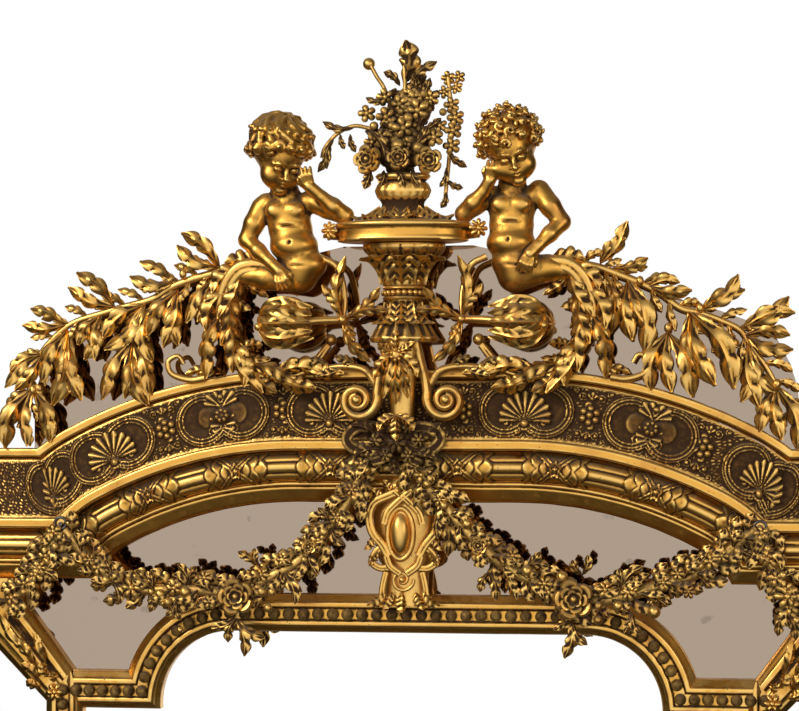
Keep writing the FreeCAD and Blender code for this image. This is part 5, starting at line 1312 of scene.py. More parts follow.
    def body(self, clay: Clay) -> None:
        """Chest, belly and hips that flow into the scroll, and both arms."""
        chest, belly, hips = (VIEW.place(*spot) for spot in (self.chest, self.belly, self.hips))
        clay.lump(chest, (37, 26, 29), 8)
        clay.lump((chest + belly) / 2, (34, 26, 28), 8)
        clay.lump(belly, (37, 31, 26), 8)
        clay.lump(hips, (37, 29, 25), 8)
        clay.limb(VIEW.places(self.tail, 85), (27, 19, 14), 9)
        clay.limb([self.put(0, -0.1, -0.3), chest + (0, 0, 24)], (19, 22), 6)
        for side in (-1, 1):
            clay.lump(chest + (side * 15, -19, 2), (15, 9.5, 13), 4)
            clay.lump(chest + (side * 31, -1, 15), (16, 16, 16), 6)
        for share, width, height in ((0.42, 27, 2.2), (1.62, 25, 2.4)):
            middle = chest + (belly - chest) * share
            clay.lump(middle + (0, -30, 0), (width, 8, height), 2.5, carve=True)
        clay.lump(belly + (-2, -32, 4), (3.2, 5, 4), 1.5, carve=True)
        self.arm(clay, self.propped, (17, 16, 13.5, 13, 9.5))
        self.arm(clay, self.lowered, (17, 16, 13, 12.5, 9.0))

    def build(self, shop: Workshop) -> None:
        """Makes the cherub."""
        head, hips = VIEW.place(*self.head), VIEW.place(*self.hips)
        low = (head[0] - 118, -164, hips[2] - 62)
        clay = Clay(low, (head[0] + 118, -26, head[2] + 86), 1.5)
        self.body(clay)
        self.face(clay)
        self.hair(clay)
        shop.add(self.node, Finish.CARVED, [self.node], [clay.shell(2)], creased=False, shade=-0.12)


PUTTI = (
    Putto("putto_left", (279, 157, 103), (0.46, -0.76, -0.50), (0.06, 0, 1), (287, 213, 86), (294, 246, 90),
          (303, 265, 88), ((300, 276, 86), (266, 277, 84), (240, 274, 84)),
          ((311, 201, 88), (345, 216, 100), (322, 197, 114), (309, 186, 120), (304, 170, 122)),
          ((262, 208, 86), (247, 240, 92), (270, 262, 110), (279, 271, 114), (285, 288, 112)), 1, False),
    Putto("putto_right", (511.5, 150, 105), (0.12, -0.93, -0.34), (-0.24, 0, 0.97), (512, 207, 86), (511, 243, 90),
          (516, 263, 88), ((515, 275, 86), (548, 268, 84), (570, 270, 84)),
          ((488, 195, 88), (464, 214, 100), (483, 192, 114), (490, 180, 120), (495, 164, 122)),
          ((539, 191, 86), (562, 222, 92), (538, 246, 110), (530, 254, 114), (524, 272, 112)), -1, True),
)



# ---------------------------------------------------------------- crest: console, urn and bouquet
def strap(pixels: Sequence[Point], depth: float, width: float, flat: float = 0.6, groove: float = 0.25,
          count: int = 40) -> Shell:
    """A carved strap through pixels at a depth."""
    return sweep(spline(VIEW.places(pixels, depth), count), width, flat=flat, sides=12, groove=groove)


@dataclass(frozen=True)
class Console:
    """The middle of the crest, from the volutes on the arch up to the shelf of the urn."""

    axis_y: float = -84.0
    shelf_y: float = -96.0
    eye: Point = (-67.0, 1755.0)

    def column(self, profile: Sequence[Point], oval: Point = (1.0, 1.0), relief: Relief | None = None) -> Shell:
        """A turned body on the axis of the console; heights are from the floor."""
        return turned((0, self.axis_y, 0), profile, oval, relief, 56, 96)

    def ruff(self, count: int, low: tuple[float, float], high: tuple[float, float], width: float,
             cut: Cut = ACANTHUS) -> list[Shell]:
        """Leaves round the axis, from one (radius, height) to another, curling outwards at the top."""
        shells = []
        for index in range(count):
            turn = math.pi * (index + 0.5) / count
            way = np.array([math.cos(turn), -math.sin(turn), 0])
            axis = np.array([0, self.axis_y, 0])
            foot, tip = (axis + way * radius + (0, 0, height) for radius, height in (low, high))
            middle = (foot + tip) / 2 - way * (high[0] - low[0]) * 0.22
            shells.append(blade([foot, middle, tip], width, cut, way, 20, 9))
        return shells

    def volute(self) -> list[Shell]:
        """The left volute: a band that comes down the pedestal, winds in, and throws an arm outwards."""
        eye = np.array([self.eye[0], -106, self.eye[1]])
        turns = np.linspace(0, 3.6 * math.pi, 110)
        reach = 31 * np.exp(-turns / 8.2)
        wind = np.stack([eye[0] + reach * np.cos(0.35 - turns), -104 - 1.2 * turns, eye[2] + reach * np.sin(0.35 - turns)], 1)
        lead = spline([(-16, -98, 1888), (-20, -100, 1850), (-27, -102, 1815), (-35, -103, 1785), tuple(wind[0])], 40)
        band = sweep(np.vstack([lead[:-1], wind]), np.interp(np.linspace(0, 1, 149), (0, 0.3, 1), (6, 7.5, 3.6)), flat=2.2,
                     sides=14, groove=0.25)
        arm = spline([(-40, -98, 1778), (-58, -96, 1800), (-90, -92, 1806), (-125, -86, 1804), (-149, -82, 1812)], 40)
        shells = [band, sweep(arm, np.linspace(6.5, 4, 40), flat=1.6, groove=0.25), ball(eye + (0, -16, 0), (8, 8, 8), 10, 16),
                  ball(arm[-1], 7)]
        shells += [leaf(arm[12], arm[12] + (-36, -6, 17), 18, 0.1, ACANTHUS),
                   leaf(arm[20], arm[20] + (-40, -6, -14), 18, -0.1, ACANTHUS),
                   leaf(arm[26], arm[26] + (-44, -4, 12), 16, 0.1, ACANTHUS)]
        return shells

    def build(self, shop: Workshop) -> None:
        """Makes shelf, capital, pedestal and volutes."""
        shelf = turned((0, self.shelf_y, 1992), [(20, 0), (92, 0), (99, 1.5), (100, 5.5), (97.5, 7.5), (97.5, 20), (101, 22),
                                                 (104, 24), (104, 28), (99, 30), (20, 30)], (1.0, 0.53), None, 60, 120)
        ends = [shell for spot in ((330, 231, 108), (478, 228, 108))
                for shell in floret(VIEW.place(*spot), 15, (-0.5 if spot[0] < 400 else 0.5, -1, 0), 8)]
        ends += [sweep(np.linspace((side * 96, -84, 2006), (side * 112, -102, 2006), 6), 9) for side in (-1, 1)]
        shop.add("console_shelf", Finish.CARVED, ["console_shelf"], [shelf, *ends], shade=-0.3)

        def gadroon(count: int, height: float) -> Relief:
            """Lobes round a body, deepest in the middle of its height."""
            return lambda share, turn: height * np.abs(np.cos(count / 2 * turn)) * np.sin(math.pi * share)

        beads = [ball((31 * math.cos(turn), self.axis_y - 31 * math.sin(turn), 1916), 4.4, 6, 10)
                 for turn in np.linspace(0, 2 * math.pi, 22, endpoint=False)]
        capital = [self.column([(20, 1926), (31, 1926), (33, 1934), (31, 1942), (36, 1954), (46, 1968), (58, 1978), (62, 1984),
                                (62, 1990), (40, 1993)], (1.0, 0.66), gadroon(18, 2.0)),
                   self.column([(20, 1906), (31, 1906), (33, 1909), (28, 1912), (28, 1920), (33, 1923), (31, 1926), (20, 1927)]),
                   *beads, *self.ruff(5, (31, 1930), (62, 1974), 40)]
        shop.add("console_capital", Finish.CARVED, ["console_capital"], capital)

        flutes = self.column([(20, 1842), (50, 1842), (53, 1848), (48, 1856), (38, 1872), (30, 1888), (26, 1900), (28, 1906),
                              (20, 1907)], (1.0, 0.8), gadroon(16, -3.2))
        strip = sweep(np.array([(0, -104, z) for z in np.linspace(1846, 1726, 30)]), np.linspace(25, 17, 30), flat=0.75,
                      sides=24, groove=0.1)
        husk = [leaf(VIEW.place(396, 352, 124), VIEW.place(across, down, 128), width, bow, ACANTHUS)
                for across, down, width, bow in ((374, 378, 20, 0.1), (418, 376, 20, -0.1), (384, 398, 18, 0.05),
                                                 (408, 398, 18, -0.05), (396, 404, 18, 0), (378, 344, 17, -0.1),
                                                 (414, 342, 17, 0.1), (396, 330, 17, 0))]
        drops = [ball(VIEW.place(396, down, 124), radius) for down, radius in ((355, 11), (372, 8), (385, 6.5), (396, 5))]
        pearls = [ball(VIEW.place(396 + 5 * math.cos(turn), 355 + 5 * math.sin(turn), 134), 2.8, 6, 8)
                  for turn in np.linspace(0, 2 * math.pi, 7, endpoint=False)]
        low = [leaf(VIEW.place(396, 415, 118), VIEW.place(across, down, 122), 20, bow, ACANTHUS)
               for across, down, bow in ((378, 430, 0.1), (414, 430, -0.1), (396, 440, 0.0))]
        shop.add("console_pedestal", Finish.CARVED, ["console_pedestal"],
                 [flutes, strip, *husk, *drops, *pearls, *low, *self.ruff(5, (27, 1902), (44, 1866), 28)])
        shop.both("console_volute", Finish.CARVED, "console_volute", [shell.mirrored() for shell in self.volute()],
                  shade=0.32)


@dataclass(frozen=True)
class Bouquet:
    """The urn and its bouquet; places are pixels with a depth."""

    leaves: tuple[tuple[Point, Point, float, float], ...] = (
        ((404, 84), (406, 41), 36, 100), ((410, 86), (437, 62), 19, 104), ((400, 86), (384, 72), 15, 100),
        ((354, 128), (323, 122), 14, 106), ((340, 134), (345, 149), 13, 108), ((330, 142), (318, 172), 14, 104),
        ((334, 138), (327, 169), 12, 106), ((369, 165), (364, 189), 18, 116), ((409, 148), (428, 126), 16, 118),
        ((370, 130), (386, 160), 15, 120), ((448, 150), (467, 167), 13, 108), ((446, 168), (440, 187), 13, 110),
        ((447, 180), (463, 188), 12, 108), ((446, 192), (441, 208), 12, 108), ((420, 130), (441, 118), 14, 112),
        ((388, 100), (366, 98), 13, 104), ((418, 100), (430, 78), 14, 104), ((396, 170), (404, 186), 16, 120),
        ((412, 168), (420, 186), 15, 118), ((384, 170), (380, 186), 15, 118), ((350, 134), (356, 152), 13, 106))
    roses: tuple[Point, ...] = ((369, 160, 21, 118), (428, 161, 19.5, 118), (399, 158, 17, 122))
    florets: tuple[Point, ...] = (
        (367, 114, 12, 106), (386, 117, 13.5, 112), (385, 97, 12, 104), (452, 105, 11, 104), (456, 118, 12, 106),
        (453, 131, 12, 108), (452, 146, 12, 108), (448, 78, 9.5, 98), (459, 77, 8.5, 98), (457, 88, 9, 98),
        (418, 110, 15, 112), (403, 128, 14, 118), (434, 138, 13, 114), (382, 138, 13, 116), (400, 104, 12, 112),
        (432, 98, 11, 106), (372, 142, 11, 112), (445, 92, 9, 102), (411, 92, 10, 106), (440, 126, 10, 110))
    balls: tuple[Point, ...] = ((369, 64, 9.5, 98), (424, 94, 7, 106), (398, 146, 11, 120), (408, 118, 8, 116),
                                (418, 148, 9, 120), (392, 126, 7, 116), (443, 112, 6, 108), (374, 126, 7, 112))
    stems: tuple[tuple[Point, ...], ...] = (
        ((371, 66), (377, 77), (384, 88), (392, 110)), ((372, 129), (354, 126), (337, 134), (325, 148), (322, 158)),
        ((448, 78), (450, 95), (452, 118), (450, 150)), ((450, 150), (448, 170), (446, 190), (445, 206)),
        ((404, 60), (405, 90), (404, 130), (402, 160)))

    def build(self, shop: Workshop) -> None:
        """Makes the urn and the bouquet."""
        lobes = lambda share, turn: 1.6 * np.abs(np.cos(9 * turn)) * np.exp(-((share - 0.66) / 0.16) ** 2)
        urn = turned((0, -96, 2020), [(20, 0), (92, 0), (90, 3), (70, 6), (50, 12), (36, 20), (30, 28), (32, 34), (38, 40),
                                      (42, 50), (38, 60), (33, 64), (40, 68), (42, 72), (38, 76), (10, 76)],
                     (1.0, 0.52), lobes, 70, 110)
        feet = []
        for turn in np.linspace(0.25, math.pi - 0.25, 6):
            way = np.array([math.cos(turn), -0.52 * math.sin(turn), 0])
            foot, tip = (np.array([0, -97, 2020]) + way * radius + (0, 0, height) for radius, height in ((34, 24), (80, 6)))
            feet.append(blade([foot, (foot + tip) / 2 - (0, 0, 4), tip], 26, ACANTHUS, unit(way + (0, 0, 0.9)), 22, 9))
        shop.add("urn", Finish.CARVED, ["urn"], [urn, *feet])
        cores = ((VIEW.place(402, 142, 96), np.array((40, 20, 44))), (VIEW.place(412, 108, 94), np.array((30, 16, 34))))
        core = [ball(middle, radii, 20, 28) for middle, radii in cores]
        random = np.random.default_rng(4)
        for middle, radii in cores:
            for _ in range(20):
                way = unit(random.normal(size=3) * (1, 0.7, 1) - (0, 0.7, 0))
                core += floret(middle + way * radii * 0.98, random.uniform(10, 15), way, 5)
                core.append(leaf(middle + way * radii * 0.7, middle + way * radii * 1.4 + (0, 0, 10), 17, 0.1))
        shells = core + [leaf(VIEW.place(*foot, depth), VIEW.place(*tip, depth + 4), width, 0.12 * (-1) ** index, LAUREL)
                         for index, (foot, tip, width, depth) in enumerate(self.leaves)]
        for x, z, radius, depth in self.roses:
            shells += rose(VIEW.place(x, z, depth + 4), 1.12 * radius, (0.25 * (x - 400) / 30, -1, 0.05))
        for x, z, radius, depth in self.florets:
            shells += floret(VIEW.place(x, z, depth), 1.2 * radius, (0.3 * math.sin(x), -1, 0.25 * math.cos(z)), 5)
        shells += [ball(VIEW.place(x, z, depth), radius, 8, 12) for x, z, radius, depth in self.balls]
        shells += [sweep(spline(VIEW.places(stem, 103), 24), 3.2, sides=8) for stem in self.stems]
        shop.add("bouquet", Finish.CARVED, ["bouquet"], shells, shade=0.42)


# ---------------------------------------------------------------- arch: keystone, bow and garlands
@dataclass(frozen=True)
class Keystone:
    """The cartouche on the middle of the arch, its oval cabochon, and the dark bow above it."""

    def build(self, shop: Workshop) -> None:
        """Makes cartouche, cabochon and bow."""
        rim = [(-13 * math.sin(turn), 25.5 * math.cos(turn)) for turn in np.linspace(0, 2 * math.pi, 48, endpoint=False)]
        middle = VIEW.place(400, 534, 92)
        path = np.array([(middle[0] + x * 1.5, -88, middle[2] + z * 1.5) for x, z in rim])
        along, across, out = frames(np.vstack([path, path[:1]]), FRONT)
        turn = CIRCLE[None, :, None]
        ring = tube(path[:, None] + 4.2 * (np.cos(turn) * across[:-1, None] + np.sin(turn) * out[:-1, None]), ring=True)
        panel = sweep(np.array([(0, -66, z) for z in np.linspace(1640, 1446, 40)]),
                      np.interp(np.linspace(0, 1, 40), (0, 0.08, 0.3, 0.5, 0.7, 0.9, 1), (20, 34, 50, 46, 36, 34, 40)),
                      flat=0.42, sides=24)
        left = [strap(((398, 492), (388, 496), (374, 503), (369, 516), (372, 532), (382, 545), (388, 556)), 90, 6.5),
                strap(((412, 490), (400, 500), (388, 512), (384, 524)), 94, 5.5),
                strap(((384, 546), (376, 552), (372, 562), (380, 568), (392, 568), (401, 573)), 88, 5.5),
                strap(((386, 556), (390, 566), (400, 574)), 91, 5.5),
                strap(((386, 572), (383, 585), (381, 600)), 86, 5)]
        leaves = [leaf(VIEW.place(*foot, 86), VIEW.place(*tip, 90), width, bow, ACANTHUS)
                  for foot, tip, width, bow in (((380, 535), (366, 550), 17, 0.1), ((382, 548), (370, 566), 16, 0.1),
                                                ((386, 500), (372, 488), 18, -0.1), ((392, 494), (384, 480), 16, 0),
                                                ((384, 590), (368, 606), 18, -0.1), ((392, 592), (384, 609), 18, 0))]
        spiral = spline([(402 + (12 - 1.1 * step) * math.cos(step), 580 + (12 - 1.1 * step) * math.sin(step))
                         for step in np.linspace(0, 9, 26)], 80)
        shells = [panel, ring, *symmetric(left + leaves), strap(spiral, 88, 2.6, 0.9, 0.0, 80), ball(VIEW.place(402, 580, 90), 5),
                  leaf(VIEW.place(402, 592, 86), VIEW.place(402, 612, 90), 20, 0, ACANTHUS),
                  leaf(VIEW.place(400, 500, 92), VIEW.place(400, 480, 96), 20, 0, ACANTHUS)]
        shop.add("keystone_cartouche", Finish.CARVED, ["keystone_cartouche"], shells)
        shop.add("cartouche_cabochon", Finish.CARVED, ["cartouche_cabochon"], [ball(middle + (0, 2, 0), (15, 13, 31), 24, 32)])

        loops = [((392, 440), (376, 428), (356, 428), (347, 440), (358, 450), (378, 450), (392, 442)),
                 ((400, 440), (416, 428), (434, 430), (440, 440), (430, 450), (414, 450), (400, 442))]
        bow = [strap(loop, 108, 9, 0.35, 0.3, 60) for loop in loops]
        bow += [strap(tail, 110, 7, 0.35, 0.3) for tail in (((392, 446), (384, 458), (372, 462)),
                                                            ((402, 446), (410, 458), (420, 464)))]
        for x, z, radius in ((397, 443, 16), (376, 440, 12), (418, 440, 12), (386, 428, 10), (408, 428, 10),
                             (386, 455, 11), (408, 456, 11)):
            bow += floret(VIEW.place(x, z, 112), radius, (0.02 * (x - 397), -1, 0), 6)
        for foot, tip in (((380, 436), (352, 424)), ((414, 436), (440, 424)), ((380, 448), (354, 456)),
                          ((414, 448), (436, 458)), ((392, 432), (384, 416)), ((402, 432), (412, 416)),
                          ((396, 456), (396, 474))):
            bow.append(leaf(VIEW.place(*foot, 106), VIEW.place(*tip, 110), 20, 0.08, ACANTHUS))
        shop.add("bow_cluster", Finish.CARVED, ["bow_cluster"], bow, shade=0.55)


@dataclass(frozen=True)
class Garland:
    """A swag from the bow to a hook and its drop beyond; lists are pixels, with a radius for flowers."""

    node: str
    stems: tuple[tuple[Point, ...], ...]
    roses: tuple[Point, ...]
    florets: tuple[Point, ...]
    balls: tuple[Point, ...]
    sprays: Sprays
    depth: float = 100.0

    def build(self, shop: Workshop) -> None:
        """Makes the garland."""
        shells = []
        for stem in self.stems:
            path = spline(VIEW.places(stem, self.depth - 6), 80)
            shells += [sweep(path, 9), *fringe(path, 13, 46, 23, LAUREL, 0.95, (-1, 1, -1, 1))]
            shells += fringe(path + FRONT * 8, 21, 38, 20, LAUREL, 0.45, (1, -1))
            run = along_line(path, max(4, int(len(path) / 5)))
            for index, place in enumerate(run[1:-1]):
                sway = np.array([7 * math.sin(index * 2.1), -10, 7 * math.cos(index * 2.7)])
                if index % 3 == 1:
                    shells.append(ball(place + sway, 6.2 + math.sin(index), 6, 9))
                elif index % 3 == 0:
                    shells += floret(place + sway, 13, (0.3 * math.sin(index), -1, 0.3 * math.cos(index)), 5)
        for x, z, radius in self.roses:
            shells += rose(VIEW.place(x, z, self.depth + 6), radius, (0.1, -1, 0.1))
        for x, z, radius in self.florets:
            shells += floret(VIEW.place(x, z, self.depth + 4), radius, (0.2 * math.sin(x), -1, 0.2), 6)
        shells += [ball(VIEW.place(x, z, self.depth + 5), radius, 7, 10) for x, z, radius in self.balls]
        for foot, tips in self.sprays:
            shells += spray(foot, tips, self.depth, 6)
        shop.add(self.node, Finish.CARVED, [self.node], shells, shade=0.36)


GARLANDS = (
    Garland("garland_left",
            (((384, 454), (370, 458), (361, 472), (350, 497), (335, 520), (318, 540), (300, 560), (270, 577), (236, 592),
              (200, 590), (165, 590), (132, 588), (108, 576), (85, 554), (65, 530)),
             ((58, 530), (50, 550), (40, 568), (22, 590), (6, 610))),
            ((236, 597, 29), (309, 547, 12)),
            ((132, 588, 18), (352, 490, 12), (262, 575, 12), (283, 560, 11), (165, 600, 11), (90, 560, 11), (336, 518, 11),
             (40, 568, 13), (205, 578, 12), (210, 602, 12)),
            ((262, 592, 8), (272, 592, 7), (268, 608, 7), (185, 592, 9), (160, 594, 8), (180, 630, 5), (168, 602, 7),
             (106, 580, 7), (324, 532, 8), (366, 470, 7)),
            (((330, 525), ((318, 508), (340, 516), (344, 545))), ((309, 548), ((292, 545), (312, 530), (318, 574))),
             ((284, 572), ((280, 590), (296, 604), (302, 592))), ((258, 566), ((238, 552), (255, 548))),
             ((236, 618), ((228, 642), (245, 656), (265, 638), (212, 628))), ((190, 585), ((178, 564), (196, 566))),
             ((152, 590), ((150, 572), (150, 612), (136, 570))), ((112, 580), ((105, 560), (120, 604))),
             ((38, 570), ((22, 566), (58, 580), (30, 600))), ((178, 598), ((180, 620), (166, 616))))),
    Garland("garland_right",
            (((410, 455), (426, 486), (439, 499), (453, 516), (470, 535), (492, 556), (515, 572), (545, 586), (573, 600),
              (605, 600), (640, 592), (670, 582), (695, 574), (722, 556), (742, 540), (757, 530)),
             ((760, 532), (767, 556), (777, 576), (787, 598), (794, 622))),
            ((573, 600, 31), (478, 546, 15)),
            ((513, 556, 12), (605, 590, 13), (664, 583, 12), (678, 574, 11), (689, 592, 11), (787, 597, 19), (440, 500, 11),
             (545, 584, 13), (628, 593, 13), (722, 556, 11), (765, 556, 12)),
            ((467, 524, 8), (527, 571, 9), (598, 606, 7), (598, 620, 7), (654, 612, 10), (562, 577, 9), (618, 606, 8),
             (700, 566, 7), (427, 484, 7)),
            (((441, 512), ((438, 538), (448, 556))), ((525, 566), ((540, 552), (549, 566))),
             ((489, 572), ((480, 592), (496, 600))), ((572, 622), ((554, 630), (564, 658), (587, 645))),
             ((582, 575), ((588, 555), (572, 560))), ((620, 590), ((619, 568), (642, 566))),
             ((632, 612), ((640, 634), (624, 632))), ((655, 590), ((668, 606), (648, 606))),
             ((700, 572), ((712, 588), (706, 556))), ((738, 545), ((752, 556), (730, 530))),
             ((778, 575), ((794, 572), (770, 596))), ((786, 612), ((778, 636), (796, 640))))),
)


@dataclass(frozen=True)
class Fittings:
    """Garland hooks, and the leaves on the two bottom corners; the ear leaves come with the ear mouldings."""

    hook: Point = (529.0, 1567.5)
    ring: float = 9.0

    def build(self, shop: Workshop) -> None:
        """Makes hooks and corner leaves."""
        turn = np.linspace(0, 2 * math.pi, 30, endpoint=False)
        path = np.stack([self.hook[0] + self.ring * np.cos(turn), np.full(30, -97.5), self.hook[1] + self.ring * np.sin(turn)], 1)
        flat = np.stack([np.cos(turn), 0 * turn, np.sin(turn)], 1)[:, None]
        round_ = CIRCLE[None, :, None]
        wire = tube(path[:, None] + 2.2 * (np.cos(round_) * flat + np.sin(round_) * FRONT), ring=True)
        peg = sweep(np.array([(self.hook[0], y, self.hook[1] - 1) for y in np.linspace(-78, -99, 8)]), 3.2, (0, 0, 1))
        shop.add("garland_hooks", Finish.IRON, ["garland_hooks"], symmetric([wire, peg]))
        corner = np.array([542.0, -58.0, 23.0])
        tips = ((-14, 118), (-46, 84), (16, 84), (-112, 2), (-84, 22), (-72, -3), (-52, 44))
        leaves = [leaf(corner, corner + (x, -6, z), 30, 0.05 * x / abs(x), ACANTHUS) for x, z in tips]
        shop.add("foot_corner_leaves", Finish.CARVED, ["foot_corner_leaves"],
                 symmetric([*leaves, *rose(corner + FRONT * 6, 17)]))


# ---------------------------------------------------------------- materials
class Tree:
    """A node tree that is written as a list of calls."""

    def __init__(self, tree: bpy.types.NodeTree) -> None:
        """Starts on an empty tree."""
        self.tree = tree
        tree.nodes.clear()

    def add(self, kind: str, inputs: dict[str | int, object] | None = None, **settings: object) -> bpy.types.Node:
        """Adds a node; an input is a constant or another node's output."""
        node = self.tree.nodes.new(("Node" if kind == "GroupOutput" else "ShaderNode") + kind)
        for name, value in settings.items():
            setattr(node, name, value)
        for name, value in (inputs or {}).items():
            if isinstance(value, bpy.types.NodeSocket):
                self.tree.links.new(value, node.inputs[name])
            else:
                node.inputs[name].default_value = value
        return node

    def math(self, operation: str, *values: object) -> bpy.types.NodeSocket:
        """A sum, product or other operation."""
        return self.add("Math", dict(enumerate(values)), operation=operation).outputs[0]

    def step(self, value: object, low: float, high: float) -> bpy.types.NodeSocket:
        """A smooth step between two values."""
        return self.add("MapRange", {"Value": value, "From Min": low, "From Max": high},
                        interpolation_type="SMOOTHSTEP").outputs[0]

    def noise(self, where: object, scale: float, detail: float = 4.0) -> bpy.types.NodeSocket:
        """Soft noise from nought to one."""
        return self.add("TexNoise", {"Vector": where, "Scale": scale, "Detail": detail}).outputs["Fac"]

    def mix(self, share: object, first: object, second: object) -> bpy.types.NodeSocket:
        """A mix of two colours."""
        return self.add("Mix", {0: share, 6: first, 7: second}, data_type="RGBA").outputs[2]


class Palette:
    """The materials of the mirror."""

    GOLD = (0.81, 0.42, 0.078, 1)
    PALE = (0.95, 0.58, 0.16, 1)
    BOLE = (0.34, 0.13, 0.045, 1)
    # Dark brown of patina in hollows, also used as painted occlusion shade.
    GRIME_AND_SHADE = (0.055, 0.024, 0.007, 1)
    DUST = (0.25, 0.185, 0.12, 1)

    def __init__(self) -> None:
        """Makes the group that the gilt finishes share."""
        self.patina = self.make_patina()

    def make_patina(self) -> bpy.types.NodeTree:
        """Masks of patina in hollows together with painted occlusion shade, dust, rubbed edges and pits, and a height
        for the fine surface.
        """
        group = bpy.data.node_groups.new("patina", "ShaderNodeTree")
        for name in ("GrimeAndShade", "Dust", "Rub", "Pit", "Tone", "Height"):
            group.interface.new_socket(name, in_out="OUTPUT", socket_type="NodeSocketFloat")
        tree = Tree(group)
        where = tree.add("TexCoord").outputs["Object"]
        cavity = tree.add("Attribute", attribute_name="cavity").outputs["Fac"]
        # Crowding of nearby surface, which the mask below turns into painted occlusion shade.
        crowd = tree.add("Attribute", attribute_name="crowd").outputs["Fac"]
        upward = tree.add("SeparateXYZ", {0: tree.add("NewGeometry").outputs["Normal"]}).outputs["Z"]
        broad, fine = tree.noise(where, 16), tree.noise(where, 130, 6)
        grain = tree.noise(where, 900, 2)
        # Patina-and-shade mask: patina in hollows from the cavity, painted occlusion shade from the crowding, and
        # noise.
        dirt_and_shade = tree.math("ADD", tree.math("MULTIPLY", cavity, 0.75), tree.math("MULTIPLY", crowd, 1.5))
        dirt_and_shade = tree.math("ADD", dirt_and_shade, tree.math("MULTIPLY", tree.math("SUBTRACT", fine, 0.5), 0.9))
        dirt_and_shade = tree.math("ADD", dirt_and_shade, tree.math("MULTIPLY", tree.math("SUBTRACT", broad, 0.5), 0.35))
        dust = tree.math("MULTIPLY", tree.step(upward, 0.25, 0.9),
                         tree.step(tree.math("ADD", broad, tree.math("MULTIPLY", fine, 0.6)), 0.55, 0.95))
        rub = tree.step(tree.math("SUBTRACT", tree.math("MULTIPLY", fine, 0.5), cavity), 0.45, 0.9)
        specks = tree.add("TexVoronoi", {"Vector": where, "Scale": 210}).outputs["Distance"]
        pit = tree.math("MULTIPLY", tree.step(tree.math("SUBTRACT", 0.2, specks), 0.0, 0.06),
                        tree.step(fine, 0.5, 0.62))
        height = tree.math("ADD", tree.math("MULTIPLY", fine, 0.6), tree.math("MULTIPLY", grain, 0.16))
        height = tree.math("SUBTRACT", height, tree.math("MULTIPLY", pit, 0.5))
        tree.add("GroupOutput", {"GrimeAndShade": dirt_and_shade, "Dust": dust, "Rub": rub, "Pit": pit, "Tone": broad, "Height": height})
        return group

    def new(self, finish: Finish) -> tuple[bpy.types.Material, Tree]:
        """An empty material for a finish."""
        material = bpy.data.materials.new(finish.value)
        material.use_nodes = True
        return material, Tree(material.node_tree)

    def gilt(self, finish: Finish, start: float, end: float, roughness: float, dusty: float, bump: float,
             gold: Point = GOLD) -> bpy.types.Material:
        """Gilding over bole, darkened to brown by patina in its hollows and by painted occlusion shade.

        Args:
            finish: which finish it is.
            start: value of the patina-and-shade mask at which the brown starts to show.
            end: value at which the brown covers the gold.
            roughness: roughness of clean gold.
            dusty: how much dust lies on upward faces.
            bump: strength of the fine surface.
            gold: colour of the clean gold.
        """
        material, tree = self.new(finish)
        masks = tree.add("Group", node_tree=self.patina).outputs
        grime_and_shade = tree.math("MAXIMUM", tree.step(masks["GrimeAndShade"], start, end), masks["Pit"])
        dust = tree.math("MULTIPLY", masks["Dust"], dusty)
        gold = tree.mix(masks["Rub"], gold, self.PALE)
        gold = tree.mix(tree.step(masks["Tone"], 0.52, 0.75), gold, (0.66, 0.31, 0.07, 1))
        # Brown over the gold: patina in hollows and pits, and painted occlusion shade.
        colour = tree.mix(grime_and_shade, gold, self.GRIME_AND_SHADE)
        colour = tree.mix(dust, colour, self.DUST)
        metal = tree.math("MULTIPLY", tree.math("SUBTRACT", 1.0, tree.math("MULTIPLY", grime_and_shade, 0.8)),
                          tree.math("SUBTRACT", 1.0, tree.math("MULTIPLY", dust, 0.9)))
        rough = tree.math("ADD", roughness, tree.math("MULTIPLY", tree.math("MAXIMUM", grime_and_shade, dust), 0.32))
        rough = tree.math("ADD", rough, tree.math("MULTIPLY", masks["Tone"], 0.06))
        normal = tree.add("Bump", {"Strength": bump, "Distance": 0.0006, "Height": masks["Height"]}).outputs[0]
        shader = tree.add("BsdfPrincipled", {"Base Color": colour, "Metallic": metal, "Roughness": rough,
                                             "Specular IOR Level": 0.2, "Normal": normal}).outputs[0]
        tree.add("OutputMaterial", {"Surface": shader})
        return material

    def glass(self, finish: Finish, colour: Point, roughness: float) -> bpy.types.Material:
        """Silvered plate glass, with faint spots of age."""
        material, tree = self.new(finish)
        where = tree.add("TexCoord").outputs["Object"]
        spots = tree.step(tree.noise(where, 34, 8), 0.66, 0.74)
        aged = tree.mix(tree.math("MULTIPLY", spots, 0.35 if finish is Finish.AGED else 0.0), colour,
                        (0.10, 0.08, 0.06, 1))
        shader = tree.add("BsdfPrincipled", {"Base Color": aged, "Metallic": 1.0, "Roughness": roughness})
        tree.add("OutputMaterial", {"Surface": shader.outputs[0]})
        return material

    def pine(self) -> bpy.types.Material:
        """Old pine, grained along its boards."""
        material, tree = self.new(Finish.PINE)
        where = tree.add("TexCoord").outputs["Object"]
        drawn = tree.add("Mapping", {"Vector": where, "Scale": (34, 30, 2.2)}).outputs[0]
        grain = tree.step(tree.noise(drawn, 3.0, 6), 0.35, 0.7)
        colour = tree.mix(grain, (0.30, 0.17, 0.075, 1), (0.17, 0.085, 0.035, 1))
        colour = tree.mix(tree.step(tree.noise(where, 9), 0.45, 0.8), colour, (0.08, 0.05, 0.03, 1))
        normal = tree.add("Bump", {"Strength": 0.4, "Distance": 0.0008, "Height": grain}).outputs[0]
        shader = tree.add("BsdfPrincipled", {"Base Color": colour, "Roughness": 0.75, "Normal": normal})
        tree.add("OutputMaterial", {"Surface": shader.outputs[0]})
        return material

